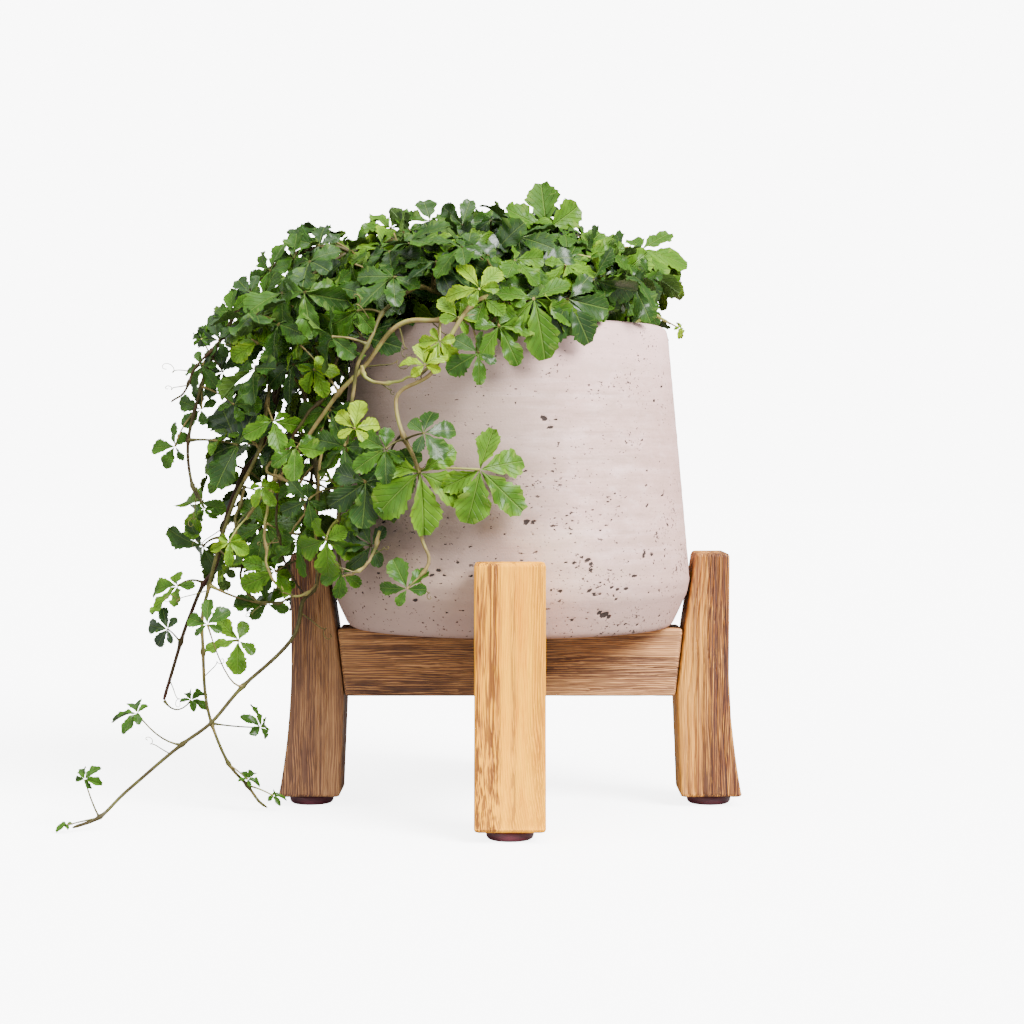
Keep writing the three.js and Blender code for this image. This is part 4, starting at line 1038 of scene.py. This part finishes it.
def ruledSeats(line, rule):
    # Seats on alternate sides of a stem; each leaf stands outwards, aside and a little up.
    begin, end, spacing, size, seed = rule
    random = draws(seed)
    lengths = alongLine(line)
    seats = []
    side = 1
    for wanted in np.arange(begin, min(end, lengths[-1]), spacing):
        jitter = [next(random) for _ in range(5)]
        i = max(1, int(np.searchsorted(lengths, wanted)))
        share = (wanted - lengths[i - 1]) / (lengths[i] - lengths[i - 1])
        start = line[i - 1] + (line[i] - line[i - 1]) * share
        outward = unit(start * (1, 1, 0))
        aside = unit(np.cross(unit(line[i] - line[i - 1]), outward)) * side
        way = unit(0.75 * outward + 0.9 * aside + (0.25 + 0.4 * jitter[1]) * up)
        seats.append({"start": start, "outward": outward, "aside": aside, "way": way,
                      "hub": start + way * (12 + 9 * jitter[0]), "lean": jitter[2] - 0.5,
                      "roll": jitter[3] - 0.5, "size": size * (0.82 + 0.36 * jitter[4])})
        side = -side
    return seats


def ruledLeaf(seat, turn, tone):
    facing = unit(
        0.75 * seat["outward"]
        + (0.7 + 0.5 * seat["lean"] + turn[1] / 60) * up
        + (0.3 + 0.5 * seat["roll"] + turn[0] / 60) * seat["aside"]
    )
    return {"start": seat["start"], "hub": seat["hub"] + facing * turn[2], "facing": facing,
            "pointing": levelled(seat["way"] - 0.9 * up, facing), "size": seat["size"], "bow": 3,
            "tone": tone, "fine": 0}


def leafTips(leaf):
    # Where the CAD leaf's leaflets end: hub + out * length - facing * droop * length^2 / size.
    young = leaf["size"] < leafShape["youngBelow"]
    angles = leafShape["youngAngles"][1:4] if young else leafShape["angles"]
    lengths = leafShape["youngLengths"][1:4] if young else leafShape["lengths"]
    angle = np.radians(angles)[:, None]
    length = np.array(lengths)[:, None] * leaf["size"]
    out = leaf["pointing"] * np.cos(angle) + np.cross(leaf["facing"], leaf["pointing"]) * np.sin(angle)
    return leaf["hub"] + out * length - leaf["facing"] * leafShape["droop"] * length**2 / leaf["size"]


def asInFrame(makeLeaf, corners):
    # The first turn whose tips are corners of the CAD solid, or none where it holds no such leaf.
    for turn in turns:
        leaf = makeLeaf(turn)
        tips = leafTips(leaf)
        gaps = np.linalg.norm(tips[:, None] - corners[None], axis=2).min(1)
        if (gaps < 0.3).sum() >= len(tips) - 1 - (len(tips) > 3):
            return leaf
    return None


def nodeCorners(node):
    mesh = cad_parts[node].data
    corners = np.empty(len(mesh.vertices) * 3)
    mesh.vertices.foreach_get("co", corners)
    return (corners.reshape(-1, 3) - potAxis) * 1000


def leafletPart(leaves, random):
    # point = hub + out * reach + aside * side + facing * lift. reach runs along the leaflet,
    # side is -1 to 1 times the toothed half width, and lift is the fold up from the midrib,
    # less the droop with the square of the reach, plus a wave that grows towards the margin.
    shape = leafShape
    count = len(leaves) * 5
    get = lambda key: np.repeat(np.array([leaf[key] for leaf in leaves], float), 5, 0)
    hub, facing, pointing, size, tone = get("hub"), get("facing"), get("pointing"), get("size"), get("tone")
    young = size < shape["youngBelow"]
    pick = lambda key, youngKey: np.where(young, np.tile(shape[youngKey], len(leaves)),
                                          np.tile(shape[key], len(leaves)))
    angle = np.radians(pick("angles", "youngAngles") + random.normal(0, 4, count))
    length = size * pick("lengths", "youngLengths") * random.normal(1.02, 0.03, count)
    across = np.cross(facing, pointing)
    out = pointing * np.cos(angle)[:, None] + across * np.sin(angle)[:, None]
    aside = np.cross(facing, out)
    fine = get("fine")
    roll = (random.normal(0, 0.26, count) * (1 + 0.6 * fine))[:, None]
    pitch = (random.normal(-0.1, 0.24, count) * (0.4 + 0.8 * fine))[:, None]
    small = np.clip((14 - size) / 5, 0, 1)[:, None, None]
    aside, facing = aside * np.cos(roll) + facing * np.sin(roll), facing * np.cos(roll) - aside * np.sin(roll)
    out, facing = out * np.cos(pitch) + facing * np.sin(pitch), facing * np.cos(pitch) - out * np.sin(pitch)
    rows, columns = len(shape["rows"]), len(shape["across"])
    s = np.array(shape["rows"])[None, :, None]
    t = np.array(shape["across"])[None, None, :]
    vary = lambda middle, spread: random.normal(middle, spread, count)[:, None, None]
    broad = np.clip(vary(1.12, 0.14), 0.85, 1.45) - 0.08 * small
    teeth = 1 + 0.04 * random.normal(size=(count, rows, 2)) * (np.array(shape["rows"]) > 0.4)[None, :, None]
    half = np.array(shape["half"])[None, :, None] * broad + 0.05 * small * (s < 0.35)
    side = t * half * np.stack([teeth[..., 0]] * 3 + [teeth[..., 1]] * 2, -1)
    reach = s + 0.035 * np.abs(t) ** 3 * (s > 0.4) * random.normal(1, 0.5, (count, rows, 1))
    fold = np.clip(vary(shape["fold"], 0.16), 0.02, 0.75) + 0.4 * small
    lift = fold * np.abs(side) + 0.012 * np.sin(np.pi * np.abs(t)) + vary(0, 0.24) * side * s
    lift = lift + vary(0.045, 0.016) * np.sin(2 * np.pi * (s * vary(2.2, 0.5) + vary(0, 0.3))) * t**2
    lift = lift + 0.018 * random.normal(size=(count, rows, 5)) * t**2
    droop = vary(shape["droop"], 0.10) + 0.45 * small
    lift = lift - droop * (length / size)[:, None, None] * s**2
    scaled = [(value * length[:, None, None])[..., None] for value in (reach + 0 * t, side, lift)]
    top = hub[:, None, None] + out[:, None, None] * scaled[0]
    top = top + aside[:, None, None] * scaled[1] + facing[:, None, None] * scaled[2]
    under = top[:, :, 2] - facing[:, None] * shape["thickness"]
    tip = hub + out * length[:, None] - facing * (droop[:, 0, 0] * length**2 / size)[:, None]
    base = hub + out * 0.4 - facing * 0.3
    points = np.concatenate([base[:, None], top.reshape(count, -1, 3), under, tip[:, None]], 1)
    points[..., 2] += np.maximum(0.4 - points[..., 2].min(1), 0)[:, None]
    stride = rows * columns + rows + 2
    uvTop = np.stack(np.broadcast_arrays(0.5 + side, reach + 0 * t), -1).reshape(count, -1, 2)
    uvMid = np.stack([np.full((count, rows), 0.5), np.broadcast_to(s[..., 0], (count, rows))], -1)
    ends = np.tile([[[0.5, 0.0]], [[0.5, 1.0]]], (1, count, 1))
    uv = np.concatenate([ends[0][:, None], uvTop, uvMid, ends[1][:, None]], 1)
    tones = np.clip(tone + random.normal(0, 0.05, count), 0, 1)[:, None]
    rim = 0.16 * np.tile(np.abs(shape["across"]) > 0.9, rows)
    tones = np.concatenate([tones, tones + rim, np.repeat(tones, rows + 1, 1)], 1)
    faces, finish = leafletFaces(rows, columns)
    return {
        "points": points.reshape(-1, 3),
        "faces": repeatFaces(faces, count, stride),
        "uv": uv.reshape(-1, 2),
        "tone": tones.ravel(),
        "finish": np.tile(finish, count),
    }


def leafletFaces(rows, columns):
    # Corner 0 is the base, then the upper rows, then one middle corner a row below, then the tip.
    row, column = np.meshgrid(np.arange(rows - 1), np.arange(columns - 1), indexing="ij")
    here = 1 + row * columns + column
    upper = np.stack([here, here + columns, here + columns + 1, here + 1], -1).reshape(-1, 4)
    left = 1 + np.arange(rows) * columns
    right = left + columns - 1
    middle = 1 + rows * columns + np.arange(rows)
    lowerLeft = np.stack([left[:-1], middle[:-1], middle[1:], left[1:]], -1)
    lowerRight = np.stack([middle[:-1], right[:-1], right[1:], middle[1:]], -1)
    tip = rows * columns + rows + 1
    first, last = left[0] + np.arange(columns - 1), left[-1] + np.arange(columns - 1)
    zero = np.zeros(columns - 1, int)
    baseFan = np.stack([zero, first, first + 1, first + 1], -1)
    tipFan = np.stack([last, zero + tip, last + 1, last + 1], -1)
    ends = np.array([
        [0, middle[0], left[0], left[0]], [0, right[0], middle[0], middle[0]],
        [left[-1], middle[-1], tip, tip], [middle[-1], right[-1], tip, tip],
    ])
    above = np.concatenate([upper, baseFan, tipFan])
    below = np.concatenate([lowerLeft, lowerRight, ends])
    finish = np.concatenate([np.full(len(above), 1), np.full(len(below), 2)])
    return np.concatenate([above, below]), finish


def stalkPart(leaves, random):
    # A stalk is the curve p = (1-u)^2 start + 2 u (1-u) bend + u^2 end, with the bend above the
    # middle; its radius falls along it and swells into a small bud under the blade.
    start = np.array([leaf["start"] for leaf in leaves])
    end = np.array([leaf["hub"] - 0.35 * leaf["facing"] for leaf in leaves])
    bow = np.array([leaf["bow"] for leaf in leaves])[:, None]
    bend = (start + end) / 2 + up * bow + random.normal(0, 0.8, start.shape)
    u = np.linspace(0, 1, stalk["steps"])[None, :, None]
    paths = (1 - u) ** 2 * start[:, None] + 2 * u * (1 - u) * bend[:, None] + u**2 * end[:, None]
    u = u[..., 0]
    thin = stalk["radius"] + (stalk["tip"] - stalk["radius"]) * u
    swell = (stalk["bud"] - stalk["tip"]) * np.exp(-(((1 - u) / 0.07) ** 2))
    thin = thin + 0.5 * np.exp(-((u / 0.1) ** 2)) + swell
    big = np.clip(np.array([leaf["size"] for leaf in leaves]) / 18, 0.8, 1.15)[:, None]
    tones = np.array([leaf["tone"] for leaf in leaves]) * 0.7
    tones = np.clip(tones + random.normal(0.35, 0.12, len(leaves)), 0, 1)
    return sweepTubes(paths, thin * big, stalk["sides"], tone=tones)


def stemPart(line, radius, green, starts, seed):
    # A round stem that thins to 0.6 of its radius, with a swollen node wherever a leaf leaves it
    # and a slight wander: radius = r (1 - 0.4 u) + node * exp(-(distance / 1.5)^2).
    u = alongLine(line) / alongLine(line)[-1]
    thick = radius * (1 - 0.4 * u)
    for start in starts:
        near = np.linalg.norm(line - start, axis=1)
        thick = np.maximum(thick, radius * (1 - 0.4 * u) + stem["node"] * np.exp(-((near / 1.5) ** 2)))
    thick[-1] *= 0.5
    wander = np.stack([waves(u * 6, seed + i, 3, 0.5, 1.6) for i in range(3)], -1) * 0.35
    wander[:3] = 0
    return sweepTubes([line + wander], [thick], stem["sides"], tone=green)


def tendrilPart(line, marks):
    # A thread that leaves the stem sideways and curls up at its end: the curl's radius shrinks
    # and its angle grows with the cube of the share along it.
    u = np.linspace(0, 1, 34)[:, None]
    paths = []
    for share, degrees, length in marks:
        start = line[int(share * (len(line) - 1))]
        a = math.radians(degrees)
        way = np.array([math.cos(a), -0.25, math.sin(a)])
        beside = np.array([-math.sin(a), -0.1, math.cos(a)])
        turn = 2 * np.pi * 1.6 * u**3
        curl = 0.16 * length * u**2 * (1.15 - 0.6 * u)
        path = start + way * (length * u * (1 - 0.25 * u)) + beside * (0.22 * length * np.sin(2.2 * u))
        path = path + way * curl * np.sin(turn) + beside * curl * (1 - np.cos(turn))
        path = path + np.array([0, -1.2, 0]) * np.sin(turn) * u
        path[:, 2] = np.maximum(path[:, 2], 0.6)
        paths.append(path)
    thick = 0.34 - 0.17 * np.broadcast_to(u[:, 0], (len(marks), len(u)))
    return sweepTubes(paths, thick, 5, tone=0.62)


def extraSeats(line, rule, hubs, random):
    # Fine leaves between the CAD ones: of several tries at each place, the one whose hub is
    # furthest from every hub so far, if that is far enough.
    begin, end, spacing = rule
    lengths = alongLine(line)
    leaves = []
    for wanted in np.arange(begin, min(end, lengths[-1] - 2), spacing):
        best, bestClear = None, 10 if line[-1][0] > -70 else 14
        for _ in range(12):
            i = int(np.searchsorted(lengths, wanted + random.uniform(-5, 5)))
            i = min(max(i, 4), len(line) - 2)
            start = line[i]
            outward = unit(start * (1, 1, 0))
            along = unit(line[i + 1] - line[i - 1])
            aside = unit(np.cross(along, outward)) * random.choice([-1, 1])
            way = unit(random.uniform(0.1, 0.9) * outward + random.uniform(0.5, 1.1) * aside
                       + random.uniform(-0.1, 0.8) * up)
            hub = start + way * random.uniform(11, 21)
            clear = np.linalg.norm(np.array(hubs) - hub, axis=1).min()
            if clear > bestClear and growsThere(hub):
                best, bestClear = (start, hub, outward, aside, way), clear
        if best is None:
            continue
        start, hub, outward, aside, way = best
        facing = unit(0.75 * outward + random.uniform(0.35, 1.1) * up + random.uniform(-0.2, 0.6) * aside
                      + random.uniform(0, 0.3) * np.array([0, -1, 0]))
        leaves.append({"start": start, "hub": hub, "facing": facing,
                       "pointing": levelled(way - random.uniform(0.3, 1) * up, facing),
                       "size": min(random.uniform(*((16, 25) if hub[2] > 236 else (15, 21))),
                           9 + headroom(hub)),
                       "bow": 3, "tone": min(random.beta(1.3, 3) * 0.98, 0.62), "fine": 1})
        hubs.append(hub)
    return leaves


# The foliage's upper edge as seen from the front: heights of its tips over places across it.
edge = {
    "x": (-185, -176, -163, -148, -136, -123, -104, -89, -60, -40, 15, 45, 70, 90),
    "z": (165, 196, 222, 240, 251, 262, 280, 286, 293, 298, 300, 287, 280, 270),
    "inset": 6,
}
# Where nothing grows, as seen from the front: below the lower edge, given as heights of hubs,
# over the runner's stem, further out than the left limit above its height, and in the hollows,
# each nearer than y, from x to x and from z to z.
bare = {
    "x": (-200, -86, -82, -60, -56, -40, -34, 8, 14, 38, 44, 66, 90),
    "z": (100, 110, 142, 158, 240, 244, 226, 226, 238, 241, 256, 262, 266),
    "stem": np.array([(-60, 238), (-70, 228), (-80, 215), (-90, 201), (-101, 187), (-113, 172),
        (-124, 158)]),
    "left": (-157, 110),
    "hollows": ((-30, -86, -34, 186, 246), (8, -50, -26, 238, 257)),
}
eyeAway, eyeHeight = 1065, 177  # of the camera, from the pot's axis and from the floor


def headroom(hub):
    # How far a hub lies under the upper edge, seen from the camera's distance.
    x, y, z = hub
    seen = eyeAway / (eyeAway + y)
    return np.interp(x * seen, edge["x"], edge["z"]) - eyeHeight - (z - eyeHeight) * seen


def growsThere(hub):
    # Inside the upper edge, in none of the bare places, and clear of the pot's wall and soil.
    x, y, z = hub
    if headroom(hub) < edge["inset"]:
        return False
    seen = eyeAway / (eyeAway + y)
    x, low = x * seen, eyeHeight + (z - eyeHeight) * seen
    if x < bare["left"][0] and low > bare["left"][1]:
        return False
    if (y < 0 or x > 34) and low < np.interp(x, bare["x"], bare["z"]):
        return False
    gap = np.hypot(*(bare["stem"] - (x, low)).T).min()
    if gap < (12 if -30 > y >= -58 else 17 if y < -58 else 0):
        return False
    for nearer, fromX, toX, fromZ, toZ in bare["hollows"]:
        if y < nearer and fromX < x < toX and fromZ < low < toZ:
            return False
    radius = math.hypot(hub[0], y)
    wall = 79.3 + (233 - z) * 0.0892 + 8 if z < 245 else 0
    return (z > 240 or radius > wall) and z > 236 - 2 * max(0, radius - 60)


canopy = {
    "seed": 41,
    "dome": {"tries": 9000, "low": (-150, -78, 236), "high": (74, 86, 300), "apart": (15.5, 11.5),
        "deep": 34},
    "side": {"tries": 3000, "apart": 20, "out": (10, 22)},
    "reach": (8, 34),  # how long a stalk may be
}


def domeTop(x, y):
    # The dome's height: the upper edge, less an ellipse's fall towards the front and the back.
    share = np.clip(1 - ((y - 4) / 88) ** 2, 0, 1)
    return 232 + (np.interp(x, edge["x"], edge["z"]) - 232) * math.sqrt(share)


def canopyLeaves(lines, hubs, random):
    # Leaves that close the gaps: random hubs just under the dome and round the hanging stems,
    # each kept if it is far enough from the others, on a stalk from the nearest stem.
    owners = np.concatenate([np.full(len(line) - 5, i) for i, line in enumerate(lines)])
    places = np.concatenate([line[5:] for line in lines])
    dome, side = canopy["dome"], canopy["side"]
    hanging = places[(places[:, 2] < 238) & (np.hypot(places[:, 0], places[:, 1]) > 84)]
    made = [[] for _ in lines]
    for i in range(dome["tries"] + side["tries"]):
        if i < dome["tries"]:
            hub = random.uniform(dome["low"], dome["high"])
            apart = dome["apart"][int(hub[0] > -72)]  # wider where the foliage hangs over the left
            depth = domeTop(hub[0], hub[1]) - hub[2]
            if depth < 3 or depth > dome["deep"]:
                continue
            outward = unit(hub - (-25, 5, 212))
        else:
            near, apart = hanging[random.integers(len(hanging))], side["apart"]
            away = unit(unit(near * (1, 1, 0)) * random.uniform(0, 1.4) + random.normal(size=3) * (1, 1,
                0.7))
            hub = near + away * random.uniform(*side["out"])
            outward = unit(hub * (1, 1, 0))
        if not growsThere(hub) or np.linalg.norm(np.array(hubs) - hub, axis=1).min() < apart:
            continue
        distance = np.linalg.norm(places - hub - (0, 0, 6), axis=1)
        nearest = int(distance.argmin())
        if not canopy["reach"][0] < distance[nearest] < canopy["reach"][1] or hub[2] < 110:
            continue
        start = places[nearest]
        way = unit(hub - start)
        facing = unit(outward + 0.3 * up + random.normal(0, 0.75, 3) + (0, -0.25, 0))
        size = min(random.uniform(*((16, 25) if hub[2] > 236 else (15, 22))), 9 + headroom(hub))
        if hub[2] > 236:  # in the crown: dark, a little lighter at its two ends
            tone = random.beta(1.2, 3.4) + 0.08 * (abs(hub[0] + 20) > 45)
        else:
            # hanging leaves: lighter tones, partly leaf colour and partly painted light that lifts the shade
            # on the sides
            tone = random.beta(2, 2.4) * 0.88 + 0.06
        made[owners[nearest]].append({
            "start": start, "hub": hub, "facing": facing, "size": size, "bow": 3, "fine": 1,
            "pointing": levelled(way * (1, 1, 0.4) - random.uniform(0.2, 0.9) * up, facing),
            "tone": min(tone, 0.6),
        })
        hubs.append(hub)
    return made


def growVines():
    # The leaves of every vine first, then the fine ones between them, then each vine's piece.
    upper, under, bark = leafMaterials()
    looks = [bark, upper, under]
    hubs = []
    grown = {}
    for name, vine in vines.items():
        coarse, fine = stemLines(vine)
        corners = nodeCorners("vine_" + name)
        random = np.random.default_rng(abs(int(vine["root"][0] * 131 + vine["root"][1] * 17)) + 1)
        leaves = []
        missing = 0
        for row in vine.get("leaves", ()):
            found = asInFrame(lambda turn: handLeaf(coarse, row, turn), corners)
            missing += found is None
            leaves.append(found or handLeaf(coarse, row, turns[0]))
        leaves += [handLeaf(coarse, row, turns[0]) for row in vine.get("drawn", ())]
        for seat in ruledSeats(coarse, vine["fill"]) if "fill" in vine else ():
            tone = vine.get("fillTone", min(random.beta(1.6, 2.6) * 0.95, 0.62))
            found = asInFrame(lambda turn: ruledLeaf(seat, turn, tone), corners)
            missing += found is None
            leaves.append(found or ruledLeaf(seat, turns[0], tone))
        hubs += [leaf["hub"] for leaf in leaves]
        grown[name] = (fine, leaves, random)
        if missing:
            print(name, "leaves only drawn here:", missing)
    for name, (fine, leaves, random) in grown.items():
        if "extra" in vines[name]:
            leaves += extraSeats(fine, vines[name]["extra"], hubs, random)
    shoots = growShoots(hubs)
    lines = [fine for fine, leaves, random in grown.values()]
    added = canopyLeaves(lines, hubs, np.random.default_rng(canopy["seed"]))
    print("leaves between the stems:", sum(len(leaves) for leaves in added))
    total = 0
    for (name, (fine, leaves, random)), more in zip(grown.items(), added):
        vine = {**usualVine, **vines[name]}
        leaves += more
        total += len(leaves)
        starts = [leaf["start"] for leaf in leaves]
        seed = int(random.integers(1, 999))
        parts = [
            stemPart(fine, vine["radius"] * vine["swell"], vine["green"], starts, seed),
            stalkPart(leaves, random),
            leafletPart(leaves, random),
        ]
        if "tendrils" in vine:
            parts.append(tendrilPart(fine, vine["tendrils"]))
        makePiece("vine_" + name + "_foliage", parts, looks, ["vine_" + name], 65)
    makePiece("crown_shoots", shoots, looks, (), 65)
    makePiece("hanging_strands", strandParts(), looks, (), 65)
    print("leaves:", total, "hubs:", len(hubs))


# Thin hanging shoots that cross in front of the left side: green tone, then points.
strands = [
    (0.95, [(-69, -82, 216), (-66, -88, 210), (-56, -93, 208), (-42, -95, 212), (-33, -93, 219),
        (-26, -88, 230)]),
    (0.75, [(-89, -62, 190), (-90, -66, 168), (-91, -66, 153), (-92, -64, 131), (-91, -62, 112)]),
    (0.85, [(-112, -52, 168), (-116, -60, 145), (-116, -62, 131), (-113, -63, 117), (-105, -64, 109),
            (-97, -64, 109), (-92, -62, 114)]),
    (0.6, [(-128, -44, 160), (-132, -50, 140), (-129, -52, 127), (-128, -53, 114), (-122, -54, 106),
           (-112, -54, 104), (-104, -53, 107)]),
    (0.2, [(-124, -34, 243), (-134, -44, 235), (-144, -47, 225), (-153, -48, 214), (-156, -48, 206),
        (-163, -46, 200)]),
    (0.8, [(-60, -92, 140), (-63, -95, 129), (-69, -96, 122), (-77, -92, 119)]),
    (0.7, [(-106, -58, 178), (-115, -66, 168), (-108, -68, 164), (-100, -67, 158), (-97, -66, 148),
        (-104, -64, 138)]),
    (0.3, [(-84, -70, 205), (-97, -68, 192), (-106, -64, 175), (-111, -60, 150), (-108, -56, 126),
        (-99, -52, 108)]),
]


def strandParts():
    parts = []
    for i, (green, points) in enumerate(strands):
        points = np.array(points, float)
        line = throughPoints(points, [9] * (len(points) - 1))
        nodes = line[4::14]
        parts.append(stemPart(line, 0.8, green, nodes, 500 + i))
        parts.append(tendrilPart(line, [(0.35, -60 + 37 * i % 120, 10), (0.75, 200 - 31 * i % 90, 12)]))
    return parts


crown = {"count": 14, "reach": 56, "skip": 44, "top": 292, "fall": 0.0036, "leaves": 6, "seed": 29}


def growShoots(hubs):
    # Short leafy shoots that stand in the soil between the vines, at golden-angle places, each
    # a smooth line that leans outwards to a top whose height falls with the square of the reach.
    random = np.random.default_rng(crown["seed"])
    parts = []
    for i in range(crown["count"]):
        reach = crown["reach"] * math.sqrt((i + 0.5) / crown["count"])
        angle = i * 2.39996 + 1.1
        x, y = reach * math.cos(angle) - 6, reach * math.sin(angle)
        if x > crown["skip"]:
            continue
        away = np.array([math.cos(angle) - 0.35, math.sin(angle), 0])
        lean = random.uniform(14, 26)
        height = crown["top"] - crown["fall"] * (reach + lean) ** 2 - random.uniform(0, 12)
        points = np.array([(x, y, 216), (x, y, 228)])
        middle = np.array([x, y, 0]) + away * lean * 0.35 + up * (228 + 0.55 * (height - 228))
        end = np.array([x, y, 0]) + away * lean + up * height
        points = np.concatenate([points, [middle], [end]])
        line = throughPoints(points, [4, 9, 10])
        length = alongLine(line)[-1]
        leaves = extraSeats(line, (16, length, (length - 16) / crown["leaves"]), hubs, random)
        if not leaves:
            continue
        parts.append(stemPart(line, 0.95, 0.7, [leaf["start"] for leaf in leaves], 300 + i))
        parts.append(stalkPart(leaves, random))
        parts.append(leafletPart(leaves, random))
    return parts


def leafMaterials():
    # Upper side: waxy, dark to yellow by tone, the dark ones glossier, with a pale midrib and
    # side veins drawn from the leaflet's own map. Under side: paler and dull. Bark: from
    # red-brown to pale green.
    upper, tree, surface = newMaterial("leaf upper side", 0.36, 0.12, 0.1, 0.3)
    tone, veins = toneOf(tree), leafVeins(tree)
    patches = noise(tree, (70, 70, 70), 3)
    colour = ramp(plus(tone, between(patches, 0.3, 0.7, -0.09, 0.09)), [
        (0.0, (0.007, 0.023, 0.006)),
        (0.25, (0.017, 0.050, 0.006)),
        (0.5, (0.036, 0.096, 0.006)),
        (0.75, (0.082, 0.178, 0.006)),
        (1.0, (0.20, 0.30, 0.002)),
    ])
    feed(surface, "Base Color", mixColour(times(veins, 0.45), colour, (0.13, 0.21, 0.035)))
    feed(surface, "Roughness", between(patches, 0.3, 0.7, 0.3, 0.46))
    feed(surface, "Coat Weight", between(tone, 0.05, 0.4, 0.45, 0.03))
    bump(surface, plus(times(veins, -1.0), times(patches, 0.5)), 0.0009, 0.8)

    under, tree, surface = newMaterial("leaf under side", 0.62, 0.12)
    veins = leafVeins(tree)
    stops = [(0.0, (0.028, 0.056, 0.012)), (0.5, (0.06, 0.115, 0.014)), (1.0, (0.16, 0.25, 0.014))]
    colour = mixColour(times(veins, 0.5), ramp(toneOf(tree), stops), (0.11, 0.18, 0.055))
    feed(surface, "Base Color", colour)
    bump(surface, veins, 0.0006, 0.7)

    bark, tree, surface = newMaterial("green stem", 0.5, 0.15)
    patches = noise(tree, (120, 120, 120), 3)
    feed(surface, "Base Color", ramp(plus(toneOf(tree), between(patches, 0.3, 0.7, -0.2, 0.2)), [
        (0.0, (0.036, 0.012, 0.007)),
        (0.3, (0.034, 0.026, 0.008)),
        (0.6, (0.070, 0.068, 0.017)),
        (0.82, (0.20, 0.145, 0.052)),
        (1.0, (0.23, 0.245, 0.055)),
    ]))
    bump(surface, noise(tree, (800, 800, 800), 2), 0.0002, 0.5)
    return upper, under, bark


def leafVeins(tree):
    # 1 on the midrib and on the side veins that run up and out from it, 0 between them.
    across, along, _ = axes(addNode(tree, "UVMap", uv_map="UVMap"))
    away = apart(across, 0.5)
    ridge = apart(maths("FRACT", times(minus(along, times(away, 1.3)), 6.5)), 0.5)
    return most(between(away, 0.022, 0.006), times(between(ridge, 0.09, 0.02), 0.7))


growVines()
print("vines done")
